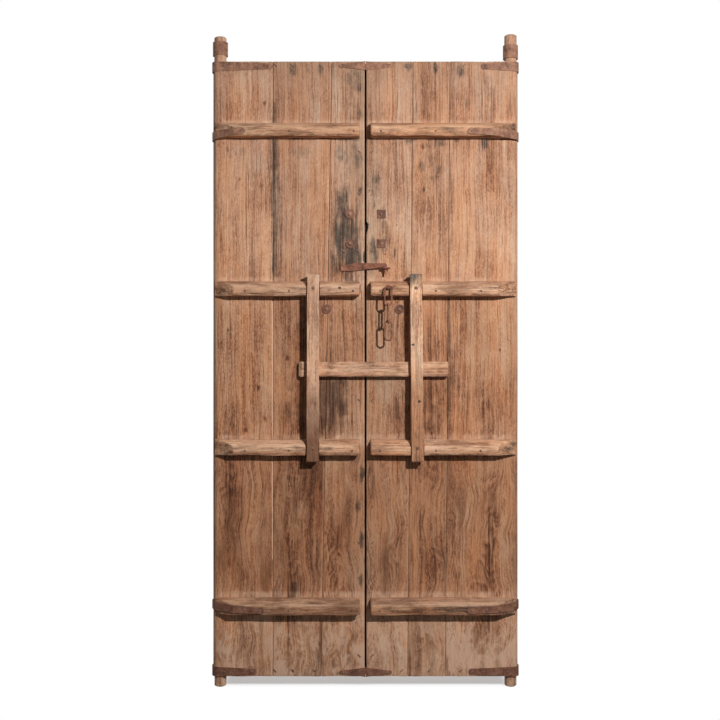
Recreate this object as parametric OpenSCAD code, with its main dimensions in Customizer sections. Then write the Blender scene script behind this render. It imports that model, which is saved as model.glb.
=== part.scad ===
// Pair of old plank door leaves on pivot posts, bound with iron straps, barred by a sliding wooden bar.
// The view is of the inner side, which faces -Y. X runs across the pair and Z is up.
// Leaf values in pairs are [left, right]. Distances across a leaf are measured from the pair's centre line.

/* [Leaves] */
// Width over the outer edges of the two leaves
door_w = 1006; // [900:1:1200]
// Height of a leaf between its top and bottom edges
leaf_h = 2021; // [1950:1:2300]
// Thickness of the planks
plank_t = 46; // [40:1:56]
// Gap between the two leaves
leaf_gap = 6; // [6:0.5:10]
// Width of the left leaf's lip, which laps behind the right leaf
lip_w = 12; // [9:1:14]
// Thickness of the lip
lip_t = 22; // [16:1:26]
// Gap round the lip
lip_gap = 2; // [1:0.5:3]
// Open joint between neighbouring planks
plank_gap = 0.8; // [0.4:0.1:0.9]
// Seam beside the stile, at the bottom edge
stile_seam_bottom = [304, 262]; // [250:1:330]
// Seam beside the stile, at the top edge
stile_seam_top = [304, 277]; // [250:1:330]
// Seam beside the inner plank, at the bottom edge
inner_seam_bottom = [146, 138]; // [100:1:200]
// Seam beside the inner plank, at the top edge
inner_seam_top = [111, 156]; // [100:1:200]

/* [Pivots] */
// Diameter of the round post above the stile
post_d = 41; // [34:1:46]
// Height of the post above the leaf
post_h = [87, 94]; // [70:1:110]
// Distance of the iron band below the post's end
band_drop = [21, 38]; // [4:1:44]
// Height of the iron band
band_h = 44; // [20:1:48]
// Thickness of the iron band
band_t = 4; // [2:0.5:6]
// Diameter of the pivot foot
foot_d = 40; // [30:1:46]
// Height of the pivot foot below the leaf
foot_h = 38; // [24:1:48]
// Rounding at the ends of the post and foot
pivot_round = 4; // [1:0.5:6]

/* [Battens] */
// Height of the lowest batten above the leaf's bottom edge
batten_first = 236; // [180:1:260]
// Distance of the top batten below the leaf's top edge
batten_last = 229.5; // [180:0.5:260]
// Height of a batten where it meets the planks
batten_h = 52; // [46:1:60]
// How far a batten stands out from the planks
batten_proud = 42; // [38:1:50]
// Fall of a batten's worn top face towards its front
batten_slope = 20; // [10:1:22]
// Length of the bevel at a batten's outer end
batten_bevel = 66; // [40:1:80]
// Thickness left at a batten's outer end
batten_end_t = 8; // [5:1:14]
// Distance of a batten's outer end from the leaf's outer edge
batten_outer_inset = 10; // [6:1:16]
// Distance of a batten's inner end from the leaf's inner edge
batten_inner_inset = [16, 13]; // [8:1:24]
// Depth of the dovetail tongue in the planks
tongue_depth = 12; // [8:1:16]
// Height of the tongue at the face of the planks
tongue_neck = 24; // [18:1:28]
// Height of the tongue at its bottom
tongue_tail = 32; // [29:1:36]

/* [Keepers and bar] */
// Distance of a keeper's middle from the centre line
keeper_x = [170, 163]; // [130:1:190]
// Width of a keeper
keeper_w = 43; // [34:1:50]
// Gap between the planks and a keeper's back
keeper_back = 18; // [14:1:22]
// Thickness of a keeper
keeper_t = 32; // [30:1:40]
// How far a keeper reaches past the middles of its two battens
keeper_overhang = 46; // [36:1:60]
// Sideways lean of a keeper's foot
keeper_lean = [2, 6]; // [0:0.5:8]
// Drop of the bar below the middle of the keepers
bar_drop = 4; // [-40:1:40]
// Height of the bar
bar_h = 50; // [40:1:60]
// Thickness of the bar
bar_t = 24; // [16:1:26]
// Gap between the planks and the bar
bar_back = 4; // [3:0.5:6]
// How far the bar reaches past the middles of the left and right keepers
bar_reach = [48, 108]; // [40:1:130]
// Chamfer at the bar's left end
bar_chamfer = 12; // [4:1:16]
// Spare height above the bar in a keeper's slot
bar_slack = 3; // [1:0.5:6]

/* [Ironwork] */
// Thickness of the straps
strap_t = 2.4; // [1.5:0.1:2.5]
// Height of the outer corner straps at the edge
strap_h = 33; // [24:1:40]
// Height of the outer corner straps at their tips
strap_tip_h = 20; // [12:1:22]
// Height of the inner corner straps at the edge
inner_strap_h = 29; // [22:1:34]
// Height of the inner corner straps at their tips
inner_tip_h = 11; // [9:1:16]
// Reach of the outer corner straps along the top edge
top_outer_reach = [198, 124]; // [90:1:220]
// Reach of the outer corner straps along the bottom edge
bottom_outer_reach = [143, 165]; // [90:1:220]
// Reach of the inner corner straps from the leaf's inner edge
inner_reach = 84; // [60:1:110]
// Reach of the straps over the top battens
top_batten_reach = [112, 172]; // [100:1:220]
// Reach of the straps over the bottom battens
bottom_batten_reach = [174, 172]; // [100:1:220]
// Height of the batten straps at the edge
batten_strap_h = 28; // [22:1:32]
// Height of the batten straps at their tips
batten_tip_h = 21; // [16:1:23]
// Fall of the top batten straps, and rise of the bottom ones, towards the edge
batten_strap_lean = 8; // [0:0.5:10]
// Diameter of the heads of the keepers' nails
keeper_nail_head_d = 11; // [8:0.5:14]
// Diameter of the heads of the battens' nails
batten_nail_head_d = 7; // [6.5:0.5:10]
// Diameter of the rivet heads and of the clinched nails' heads
rivet_head_d = 8.5; // [7:0.5:12]
// Height of the nail and rivet heads
nail_head_h = 2; // [1:0.5:3]
// Diameter of the nail shanks
nail_d = 5; // [3:0.5:6]
// Depth of the nails in the planks
nail_depth = 28; // [16:1:36]
// Diameter of the round washers, and width of the square ones
washer_d = 30; // [24:1:36]
// Thickness of the washers
washer_t = 3; // [2:0.5:5]
// Diameter of the bolts through the washers
bolt_d = 9; // [6:0.5:12]
// Length of a clinched nail's turned-over tip
clinch_len = 13; // [8:1:18]

/* [Latch and chain] */
// Height of the latch's pivot above the middle of the upper batten
latch_above = 69; // [64:1:86]
// Distance of the latch's pivot from the centre line
latch_pivot_x = 48; // [40:1:60]
// Length of the latch from its pivot to its hook
latch_reach = 114; // [104:1:118]
// Diameter of the latch's pivot pin
latch_pin_d = 7; // [5:0.5:8]
// Thickness of the latch's iron
latch_t = 4; // [3:0.5:5]
// Rise of the latch's hook above the planks
latch_rise = 16; // [14:1:18]
// Inner radius of the latch's eye
eye_r = 9; // [8:0.5:11]
// Distance of the chain from the centre line
chain_x = 73; // [62:1:80]
// Diameter of the iron of the chain, its spike and the latch's eye
chain_d = 5.5; // [4.5:0.1:6]
// Length of a chain link over its ends
link_len = 68; // [56:1:76]
// Width of a chain link
link_w = 28; // [26:0.5:32]
// Distance of the chain in front of its batten
chain_reach = 15; // [13:0.5:18]
// Length of the spike's bent tip
spike_tip = 24; // [18:1:30]

/* [Fits] */
// Gap round a tongue, nail or bolt in its seat
seat_fit = 0.15; // [0.05:0.05:0.3]
// Gap between pieces that move on each other
run_fit = 0.3; // [0.2:0.05:0.5]
// Gap round the latch's pivot pin
pin_fit = 0.08; // [0.02:0.01:0.1]

/* [Hidden] */
$fn = 48;
// Distance of the inner face of the planks behind the middle of the pair's depth
face_y = 12;
// Distance by which a cutter overshoots what it cuts
over = 20;
left = 0;
right = 1;
edge_ease = 1;
edge_r = plank_t / 2 + edge_ease;
outer_x = door_w / 2;
axis_x = outer_x - edge_r;
inner_x = leaf_gap / 2;
leaf_bottom = foot_h;
leaf_top = leaf_bottom + leaf_h;
battens = [0 : 3];
bottom_batten = 0;
lower_keeper_batten = 1;
upper_keeper_batten = 2;
top_batten = 3;
batten_pitch = (leaf_h - batten_first - batten_last) / top_batten;
batten_end_x = outer_x - batten_outer_inset;
bevel_x = batten_end_x - batten_bevel;
keeper_bottom = batten_z(lower_keeper_batten) - keeper_overhang;
keeper_top = batten_z(upper_keeper_batten) + keeper_overhang;
keeper_front = keeper_back + keeper_t;
bar_z = (keeper_bottom + keeper_top) / 2 - bar_drop;
bar_front = bar_back + bar_t;
strap_gap = 0.1;
arc_steps = 6;
clinch_d = 3.2;
clinch_t = 1.8;

// Places
function batten_z(k) = leaf_bottom + batten_first + k * batten_pitch;
function at_height(bottom, top, z) = bottom + (top - bottom) * (z - leaf_bottom) / leaf_h;
function stile_seam(i, z) = at_height(stile_seam_bottom[i], stile_seam_top[i], z);
function inner_seam(i, z) = at_height(inner_seam_bottom[i], inner_seam_top[i], z);
function keeper_mid(i, z) = keeper_x[i] + keeper_lean[i] * (keeper_top - z) / (keeper_top - keeper_bottom);
function batten_inner_x(i) = inner_x + batten_inner_inset[i];

// A leaf is drawn for the right-hand side, with Y as the distance out of the planks' inner face
module on_leaf(i) {
    mirror([i == left ? 1 : 0, 0, 0]) translate([0, face_y, 0]) mirror([0, 1, 0]) children();
}

// Extrusions of a shape drawn in the face (X, Z), in cross-section (Y, Z) or in plan (X, Y)
module across_face(y0, y1) {
    translate([0, y1, 0]) rotate([90, 0, 0]) linear_extrude(y1 - y0) children();
}
module along_x(x0, x1) {
    translate([x0, 0, 0]) rotate([90, 0, 90]) linear_extrude(x1 - x0) children();
}
module along_z(z0, z1) {
    translate([0, 0, z0]) linear_extrude(z1 - z0) children();
}
module rod(x, z, y0, y1, d) {
    translate([x, y0, z]) rotate([-90, 0, 0]) cylinder(d = d, h = y1 - y0);
}

// A strip of even thickness on the left of a path in plan
function left_normal(a, b) = [a[1] - b[1], b[0] - a[0]] / norm(b - a);
function beside(path, t) = [
    for (k = [0 : len(path) - 1])
        let (
            before = left_normal(path[max(k - 1, 0)], path[max(k, 1)]),
            after = left_normal(path[min(k, len(path) - 2)], path[min(k + 1, len(path) - 1)]),
            both = before + after
        )
        path[k] + both * 2 * t / (both * both)
];
function backwards(list) = [for (k = [len(list) - 1 : -1 : 0]) list[k]];
module strip(path, t) {
    polygon(concat(path, backwards(beside(path, t))));
}

// Planks
module slab(bottom_from, bottom_to, top_from, top_to) {
    across_face(-plank_t, 0) polygon([
        [bottom_from, leaf_bottom], [bottom_to, leaf_bottom], [top_to, leaf_top], [top_from, leaf_top]
    ]);
}
module tongue_profile(fit) {
    polygon([
        [over, -tongue_neck / 2 - fit], [0, -tongue_neck / 2 - fit],
        [-tongue_depth - fit, -tongue_tail / 2 - fit], [-tongue_depth - fit, tongue_tail / 2 + fit],
        [0, tongue_neck / 2 + fit], [over, tongue_neck / 2 + fit]
    ]);
}
module plank_cuts(i) {
    for (k = battens)
        translate([0, 0, batten_z(k)])
            along_x(batten_inner_x(i) - seat_fit, outer_x + over) tongue_profile(seat_fit);
    fixing_holes(i);
}
module stile(i) {
    difference() {
        union() {
            intersection() {
                slab(stile_seam_bottom[i] + plank_gap / 2, outer_x + over,
                    stile_seam_top[i] + plank_gap / 2, outer_x + over);
                union() {
                    translate([0, -plank_t - over, 0]) cube([axis_x, plank_t + 2 * over, leaf_top + over]);
                    translate([axis_x, -plank_t / 2, 0]) cylinder(r = edge_r, h = leaf_top + over, $fn = 96);
                }
            }
            translate([axis_x, -plank_t / 2, leaf_top - over]) pivot(post_d, post_h[i] + over);
            translate([axis_x, -plank_t / 2, foot_h + over]) mirror([0, 0, 1]) pivot(foot_d, foot_h + over);
        }
        plank_cuts(i);
    }
}
module pivot(d, h) {
    rotate_extrude() polygon([
        [0, 0], [d / 2, 0], [d / 2, h - pivot_round], [d / 2 - pivot_round, h], [0, h]
    ]);
}
module middle_plank(i) {
    difference() {
        slab(inner_seam_bottom[i] + plank_gap / 2, stile_seam_bottom[i] - plank_gap / 2,
            inner_seam_top[i] + plank_gap / 2, stile_seam_top[i] - plank_gap / 2);
        plank_cuts(i);
    }
}
module inner_plank(i) {
    difference() {
        union() {
            slab(inner_x, inner_seam_bottom[i] - plank_gap / 2, inner_x, inner_seam_top[i] - plank_gap / 2);
            if (i == left) lip(inner_x - lip_w, inner_x + over, 0);
        }
        plank_cuts(i);
        if (i == right) lip(inner_x - over, lip_w - inner_x + lip_gap, lip_gap);
        if (i == right) broken_edge();
    }
}
// The lip or the rebate for it, between the straps at the leaf's inner corners
module lip(from, to, gap) {
    clear = strap_edge_inset + inner_strap_h + 2 * lip_gap - gap;
    low = leaf_bottom + clear;
    high = leaf_top - clear;
    past = gap > 0 ? over : 0;
    translate([from, -plank_t - past, low]) cube([to - from, lip_t + gap + past, high - low]);
}
// Splinters lost from the right leaf's inner edge, above the latch
break_above = 179;
break_h = 42;
break_w = 7;
module broken_edge() {
    low = batten_z(upper_keeper_batten) + break_above;
    across_face(-plank_t - over, over) polygon([
        [inner_x - over, low], [inner_x, low], [inner_x + break_w / 2, low + break_h / 3],
        [inner_x + break_w, low + break_h], [inner_x - over, low + break_h]
    ]);
}

// Battens
batten_edge = 3;
// Middle of the upright part of a batten's front
function batten_front_z(k) = batten_z(k) + (batten_edge - batten_slope) / 2;
module batten_profile() {
    polygon([
        [0, -batten_h / 2], [batten_proud - batten_edge, -batten_h / 2],
        [batten_proud, -batten_h / 2 + batten_edge], [batten_proud, batten_h / 2 - batten_slope],
        [batten_proud / 2, batten_h / 2 - batten_slope / 4], [0, batten_h / 2]
    ]);
}
module batten(i, k) {
    difference() {
        translate([0, 0, batten_z(k)]) {
            along_x(batten_inner_x(i), batten_end_x) batten_profile();
            along_x(batten_inner_x(i), batten_end_x) intersection() {
                tongue_profile(0);
                translate([-2 * tongue_depth, -batten_h]) square([2 * tongue_depth, 2 * batten_h]);
            }
        }
        // Bevel at the outer end
        along_z(batten_z(k) - batten_h, batten_z(k) + batten_h) polygon([
            [bevel_x, batten_proud], [batten_end_x, batten_end_t], [batten_end_x + over, batten_end_t],
            [batten_end_x + over, batten_proud + over], [bevel_x, batten_proud + over]
        ]);
        // Housing for the keeper
        if (k == lower_keeper_batten || k == upper_keeper_batten)
            across_face(keeper_back, batten_proud + over) keeper_outline(i, seat_fit, over);
        fixing_holes(i);
        if (i == right && k == upper_keeper_batten) spike_hole();
    }
}

// Keepers and the bar
module keeper_outline(i, fit, past) {
    half = keeper_w / 2 + fit;
    low = keeper_bottom - past;
    high = keeper_top + past;
    polygon([
        [keeper_mid(i, low) - half, low], [keeper_mid(i, low) + half, low],
        [keeper_mid(i, high) + half, high], [keeper_mid(i, high) - half, high]
    ]);
}
module keeper(i) {
    difference() {
        across_face(keeper_back, keeper_front) keeper_outline(i, 0, 0);
        // Slot for the bar, open towards the planks
        translate([keeper_x[i] - keeper_w - over, 0, bar_z - bar_h / 2 - run_fit])
            cube([2 * (keeper_w + over), bar_front + run_fit, bar_h + 2 * run_fit + bar_slack]);
        fixing_holes(i);
    }
}
module sliding_bar() {
    from = -keeper_x[left] - bar_reach[left];
    to = keeper_x[right] + bar_reach[right];
    color("peru") on_leaf(right) difference() {
        translate([from, bar_back, bar_z - bar_h / 2]) cube([to - from, bar_t, bar_h]);
        along_z(bar_z - bar_h, bar_z + bar_h) polygon([
            [from - over, bar_front + over], [from - over, bar_front - bar_chamfer],
            [from, bar_front - bar_chamfer], [from + bar_chamfer, bar_front],
            [from + bar_chamfer, bar_front + over]
        ]);
    }
}

// Straps
function round_the_edge(r, a) = [axis_x + r * cos(a), -plank_t / 2 + r * sin(a)];
function edge_arc(from, to) = let (step = (from - to) / arc_steps) [
    for (k = [0 : arc_steps - 1])
        round_the_edge((edge_r + strap_gap) / cos(step / 2), from - (k + 0.5) * step)
];
// Angle at which the round edge meets the flat of the planks
flat_angle = asin(plank_t / 2 / edge_r);
function back_leg(tip) = [
    round_the_edge(edge_r + strap_gap, -flat_angle), [tip, -plank_t - strap_gap]
];
function corner_path(tip) = concat(
    [[tip, strap_gap], round_the_edge(edge_r + strap_gap, flat_angle)],
    edge_arc(flat_angle, -flat_angle), back_leg(tip)
);
// Where a batten's strap starts to follow the round edge, as an angle above the leaf's middle plane
batten_strap_angle = 40;
function batten_path(tip) = concat(
    [
        [tip, batten_proud + strap_gap], [bevel_x, batten_proud + strap_gap],
        [batten_end_x + strap_gap, batten_end_t + strap_gap]
    ],
    edge_arc(batten_strap_angle, -flat_angle), back_leg(tip)
);
function seam_path(tip) = [
    [tip, -plank_t - strap_gap], [inner_x - strap_gap, -plank_t - strap_gap],
    [inner_x - strap_gap, strap_gap], [tip, strap_gap]
];
module strap_outline(tip, edge, mid, edge_h, tip_h, rise) {
    reach = abs(edge - tip);
    low = mid + rise - edge_h / 2;
    high = mid + rise + edge_h / 2;
    translate([tip, 0]) mirror([edge < tip ? 1 : 0, 0, 0]) {
        polygon([
            [reach + over, low], [reach + over, high], [reach, high],
            [tip_h * 0.38, mid + tip_h * 0.46], [tip_h * 0.38, mid - tip_h * 0.46], [reach, low]
        ]);
        translate([tip_h / 2, mid]) circle(d = tip_h);
    }
}
module strap(i, tip, edge, mid, edge_h, tip_h, rise = 0) {
    difference() {
        intersection() {
            along_z(mid - edge_h - over, mid + edge_h + over) children();
            across_face(-plank_t - over, batten_proud + over)
                strap_outline(tip, edge, mid, edge_h, tip_h, rise);
        }
        rivet_holes(i);
    }
}
strap_edge_inset = 1;
function low_strap_z(h) = leaf_bottom + strap_edge_inset + h / 2;
function high_strap_z(h) = leaf_top - strap_edge_inset - h / 2;
module outer_corner_strap(i, mid, reach) {
    tip = outer_x - reach;
    strap(i, tip, outer_x, mid, strap_h, strap_tip_h) strip(corner_path(tip), strap_t);
}
module inner_corner_strap(i, mid) {
    tip = inner_x + inner_reach;
    strap(i, tip, inner_x, mid, inner_strap_h, inner_tip_h) strip(seam_path(tip), strap_t);
}
function batten_strap_rise(k) = k == top_batten ? -batten_strap_lean : batten_strap_lean;
module batten_strap(i, k, reach) {
    tip = outer_x - reach;
    strap(i, tip, outer_x, batten_front_z(k), batten_strap_h, batten_tip_h, batten_strap_rise(k))
        strip(batten_path(tip), strap_t);
}
module post_band(i) {
    top = leaf_top + post_h[i] - band_drop[i];
    translate([axis_x, -plank_t / 2, top - band_h]) difference() {
        cylinder(d = post_d + 2 * seat_fit + 2 * band_t, h = band_h);
        translate([0, 0, -over]) cylinder(d = post_d + 2 * seat_fit, h = band_h + 2 * over);
    }
}

// Nails, rivets and bolts. Each place is [x, z, front surface], and rivets also give the back surface
tip_inset = 14;
function batten_nail_places(i) = [
    for (k = battens)
        let (
            z = batten_z(k),
            on_keeper = k == lower_keeper_batten || k == upper_keeper_batten,
            middle_from = max(inner_seam(i, z), keeper_mid(i, z) + keeper_w / 2),
            front_z = batten_front_z(k),
            inner = [[(inner_seam(i, z) + inner_x) * 0.32, front_z, batten_proud]],
            middle = [[(stile_seam(i, z) + middle_from) / 2, front_z, batten_proud]],
            stile = [[(stile_seam(i, z) + axis_x) / 2, front_z, batten_proud]]
        )
        each concat(inner, middle, on_keeper ? stile : [])
];
function keeper_nail_places(i) = [
    for (k = [lower_keeper_batten, upper_keeper_batten])
        [keeper_mid(i, batten_z(k)), batten_z(k), keeper_front]
];
// A rivet on a batten's strap, so far from the strap's tip
function batten_rivet(k, reach, along) = [
    outer_x - reach + along, batten_front_z(k) + batten_strap_rise(k) * along / reach,
    batten_proud + strap_gap + strap_t
];
function strap_rivet_places(i) = let (
        face = strap_gap + strap_t,
        low = low_strap_z(strap_h),
        high = high_strap_z(strap_h),
        bottom_reach = bottom_batten_reach[i],
        bevel_along = bevel_x - outer_x + bottom_reach
    ) [
        [outer_x - top_outer_reach[i] + tip_inset, high, face],
        [outer_x - bottom_outer_reach[i] + tip_inset, low, face],
        [axis_x - tip_inset, high, face],
        [axis_x - tip_inset, low, face],
        [inner_x + inner_reach - tip_inset, high_strap_z(inner_strap_h), face],
        [inner_x + inner_reach - tip_inset, low_strap_z(inner_strap_h), face],
        batten_rivet(top_batten, top_batten_reach[i], tip_inset),
        batten_rivet(bottom_batten, bottom_reach, tip_inset),
        batten_rivet(bottom_batten, bottom_reach, bevel_along / 2 + tip_inset)
    ];
bolt_above = [246, 149, -66];
bolt_x = [[51, 50, 127], [53, 52, 112]];
function bolt_places(i) = [
    for (n = [0 : 2]) [bolt_x[i][n], batten_z(upper_keeper_batten) + bolt_above[n], washer_t]
];
// Clinched nails: places up the inner edge as [batten, height above it], and along the top and bottom edges
edge_clinch_x = [17, 18];
edge_clinch_above = [
    [bottom_batten, -170], [bottom_batten, 84], [bottom_batten, 200], [bottom_batten, 316],
    [lower_keeper_batten, 150], [upper_keeper_batten, 307], [top_batten, -71], [top_batten, 54]
];
latch_clinch_x = [[71, 22], [21, 65]];
latch_clinch_above = 124;
end_clinch_inset = 17;
top_inner_clinch = [32, -20];
top_middle_clinch = [-66, -49];
top_outer_clinch = [-13, -59];
bottom_inner_clinch = [19, -23];
bottom_middle_clinch = [-69, -57];
bottom_outer_clinch = [-66, -29];
function top_clinch_x(i) = [
    inner_seam_top[i] + top_inner_clinch[i], stile_seam_top[i] + top_middle_clinch[i],
    outer_x - top_outer_reach[i] + top_outer_clinch[i]
];
function bottom_clinch_x(i) = [
    inner_seam_bottom[i] + bottom_inner_clinch[i], stile_seam_bottom[i] + bottom_middle_clinch[i],
    outer_x - bottom_outer_reach[i] + bottom_outer_clinch[i]
];
function clinch_places(i) = concat(
    [for (place = edge_clinch_above) [edge_clinch_x[i], batten_z(place[0]) + place[1]]],
    [for (x = latch_clinch_x[i]) [x, batten_z(upper_keeper_batten) + latch_clinch_above]],
    [for (x = bottom_clinch_x(i)) [x, leaf_bottom + end_clinch_inset]],
    [for (x = top_clinch_x(i)) [x, leaf_top - end_clinch_inset]]
);
module head(x, z, y, d, h) {
    translate([x, y, z]) rotate([-90, 0, 0]) cylinder(d1 = d, d2 = d * 0.55, h = h);
}
module back_head(x, z, y, d, h) {
    translate([x, y, z]) rotate([90, 0, 0]) cylinder(d1 = d, d2 = d * 0.55, h = h);
}
module nails(places, head_d) {
    for (p = places) {
        rod(p[0], p[1], -nail_depth, p[2], nail_d);
        head(p[0], p[1], p[2], head_d, nail_head_h);
    }
}
module strap_rivets(i) {
    back = -plank_t - strap_gap - strap_t;
    for (p = strap_rivet_places(i)) {
        rod(p[0], p[1], back, p[2], nail_d);
        head(p[0], p[1], p[2], rivet_head_d, nail_head_h);
        back_head(p[0], p[1], back, rivet_head_d, nail_head_h);
    }
}
module washers(i) {
    for (n = [0 : 2]) {
        p = bolt_places(i)[n];
        difference() {
            translate([p[0], 0, p[1]]) rotate([-90, 0, 0]) linear_extrude(washer_t)
                if (i == right && n < 2) square(washer_d * 0.92, center = true);
                else circle(d = washer_d);
            rod(p[0], p[1], -over, over, bolt_d + 2 * seat_fit);
        }
    }
}
module washer_bolts(i) {
    for (p = bolt_places(i)) {
        rod(p[0], p[1], -plank_t, p[2], bolt_d);
        head(p[0], p[1], p[2], bolt_d * 1.5, bolt_d / 2);
        back_head(p[0], p[1], -plank_t, washer_d * 0.8, bolt_d / 2);
    }
}
module clinched_nails(i) {
    for (p = clinch_places(i)) {
        rod(p[0], p[1], -plank_t, clinch_t, clinch_d);
        back_head(p[0], p[1], -plank_t, rivet_head_d, nail_head_h);
        translate([p[0], 0, p[1]]) rotate([0, 45, 0])
            translate([-clinch_d / 2, 0, -clinch_d / 2]) cube([clinch_d, clinch_t, clinch_len]);
    }
}
module rivet_holes(i) {
    for (p = strap_rivet_places(i))
        rod(p[0], p[1], -plank_t - over, batten_proud + over, nail_d + 2 * seat_fit);
}
module fixing_holes(i) {
    rivet_holes(i);
    for (p = concat(batten_nail_places(i), keeper_nail_places(i)))
        rod(p[0], p[1], -nail_depth - seat_fit, p[2] + over, nail_d + 2 * seat_fit);
    for (p = bolt_places(i)) rod(p[0], p[1], -plank_t - over, over, bolt_d + 2 * seat_fit);
    for (p = clinch_places(i)) rod(p[0], p[1], -plank_t - over, over, clinch_d + 2 * seat_fit);
    if (i == left) rod(latch_pivot_x, latch_z, -nail_depth - seat_fit, over, latch_pin_d + 2 * seat_fit);
    if (i == right) rod(eye_x, eye_z, -nail_depth - seat_fit, over, chain_d + 2 * seat_fit);
}

// Latch
latch_z = batten_z(upper_keeper_batten) + latch_above;
latch_lift = 7;
latch_tail = 33;
latch_tail_up = 6;
latch_tail_down = 9;
latch_up = 16;
latch_down = 11;
latch_step = 24;
latch_off = 1.5;
hook_w = 9;
hook_h = 13;
hook_corner = 3;
hook_taper = 2;
hook_drop = 22;
hook_shoulder = 27;
eye_x = latch_reach - latch_pivot_x;
hook_top_z = latch_z + latch_reach * tan(latch_lift);
// Lower edge of the latch, which rests on the eye's ring
latch_low_start = [-latch_pivot_x, latch_z - latch_down];
latch_low_end = [eye_x - hook_w, hook_top_z - hook_h];
latch_low_slope = atan2(latch_low_end[1] - latch_low_start[1], latch_low_end[0] - latch_low_start[0]);
eye_ring_r = eye_r + chain_d / 2;
eye_z = latch_low_start[1] + (eye_x - eye_ring_r - latch_low_start[0]) * tan(latch_low_slope)
    - (chain_d / 2 + run_fit) / cos(latch_low_slope);
// Plan of the latch, from its tail past the pivot to the raised hook
function latch_plan() = [
    [-latch_pivot_x - 2 * latch_tail, latch_off], [-latch_pivot_x + latch_step, latch_off],
    [eye_x - 2 * hook_w, latch_rise], [eye_x + 2 * hook_w, latch_rise]
];
module latch_outline() {
    hook_low_z = eye_z - hook_drop;
    polygon([
        [-latch_pivot_x - latch_tail, latch_z - latch_tail_down], latch_low_start, latch_low_end,
        [eye_x - hook_w / 2, hook_top_z - hook_h - hook_corner],
        [eye_x - hook_w / 2 + hook_taper, hook_low_z], [eye_x + hook_w / 2 - hook_taper, hook_low_z],
        [eye_x + hook_w / 2, hook_top_z - 2 * hook_corner], [eye_x, hook_top_z],
        [eye_x - hook_shoulder, hook_top_z], [-latch_pivot_x + latch_up, latch_z + latch_up],
        [-latch_pivot_x - latch_tail, latch_z + latch_tail_up]
    ]);
}
module latch_hook() {
    color("sienna") on_leaf(right) difference() {
        intersection() {
            along_z(eye_z - 2 * hook_drop, hook_top_z + over) strip(latch_plan(), latch_t);
            across_face(0, latch_rise + 2 * latch_t) latch_outline();
        }
        rod(-latch_pivot_x, latch_z, 0, latch_rise, latch_pin_d + 2 * pin_fit);
    }
}
module latch_pivot_pin() {
    color("sienna") on_leaf(left) {
        outside = latch_off + latch_t + run_fit;
        rod(latch_pivot_x, latch_z, -nail_depth, outside, latch_pin_d);
        head(latch_pivot_x, latch_z, outside, latch_pin_d * 1.7, nail_head_h);
    }
}
module latch_eye() {
    ring_y = latch_rise + latch_t / 2;
    color("sienna") on_leaf(right) {
        translate([eye_x, ring_y, eye_z]) rotate_extrude() translate([eye_ring_r, 0]) circle(d = chain_d);
        rod(eye_x, eye_z, -nail_depth, ring_y - eye_ring_r, chain_d);
    }
}

// Chain, hanging from a bent spike in the right leaf's upper keeper batten
spike_z = batten_z(upper_keeper_batten);
spike_tip_d = chain_d * 0.85;
spike_tip_rise = 12;
chain_y = batten_proud + chain_reach;
spike_tip_y = chain_y + chain_d / 2 + run_fit + spike_tip_d / 2;
link_end_r = link_w / 2 - chain_d / 2;
link_pitch = link_len - 2 * chain_d - run_fit;
first_link_top = spike_z + chain_d / 2 + run_fit + chain_d;
function link_z(n) = first_link_top - link_len / 2 - (n - 1) * link_pitch;
module spike_hole() {
    rod(chain_x, spike_z, 0, batten_proud + over, chain_d + 2 * seat_fit);
}
module chain_spike() {
    color("sienna") on_leaf(right) {
        rod(chain_x, spike_z, 0, spike_tip_y + spike_tip_d / 2, chain_d);
        translate([chain_x, spike_tip_y, spike_z]) rotate([0, 90 - spike_tip_rise, 0])
            cylinder(d = spike_tip_d, h = spike_tip);
    }
}
// A link in the plane of X and Z, about its own middle
module link() {
    straight = link_len - link_w;
    for (way = [-1, 1]) {
        translate([way * link_end_r, 0, -straight / 2]) cylinder(d = chain_d, h = straight);
        translate([0, 0, way * straight / 2]) rotate([way * 90, 0, 0])
            rotate_extrude(angle = 180) translate([link_end_r, 0]) circle(d = chain_d);
    }
}
module chain_link(n) {
    color("sienna") on_leaf(right) translate([chain_x, chain_y, link_z(n)])
        rotate([0, 0, n % 2 == 0 ? 90 : 0]) link();
}

module wood(i) { color(i == left ? "#a0714f" : "#a87a56") on_leaf(i) children(); }
module iron(i) { color("#6a4636") on_leaf(i) children(); }

wood(left) stile(left);  // left_stile
wood(left) middle_plank(left);  // left_middle_plank
wood(left) inner_plank(left);  // left_inner_plank
wood(left) batten(left, bottom_batten);  // left_bottom_batten
wood(left) batten(left, lower_keeper_batten);  // left_lower_batten
wood(left) batten(left, upper_keeper_batten);  // left_upper_batten
wood(left) batten(left, top_batten);  // left_top_batten
wood(left) keeper(left);  // left_keeper
iron(left) nails(keeper_nail_places(left), keeper_nail_head_d);  // left_keeper_nails
iron(left) nails(batten_nail_places(left), batten_nail_head_d);  // left_batten_nails
iron(left) post_band(left);  // left_post_band
iron(left) outer_corner_strap(left, high_strap_z(strap_h), top_outer_reach[left]);  // left_top_outer_strap
iron(left) inner_corner_strap(left, high_strap_z(inner_strap_h));  // left_top_inner_strap
iron(left) outer_corner_strap(left, low_strap_z(strap_h), bottom_outer_reach[left]);  // left_bottom_outer_strap
iron(left) inner_corner_strap(left, low_strap_z(inner_strap_h));  // left_bottom_inner_strap
iron(left) batten_strap(left, top_batten, top_batten_reach[left]);  // left_top_batten_strap
iron(left) batten_strap(left, bottom_batten, bottom_batten_reach[left]);  // left_bottom_batten_strap
iron(left) strap_rivets(left);  // left_strap_rivets
iron(left) washers(left);  // left_washers
iron(left) washer_bolts(left);  // left_washer_bolts
iron(left) clinched_nails(left);  // left_clinched_nails

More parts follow.
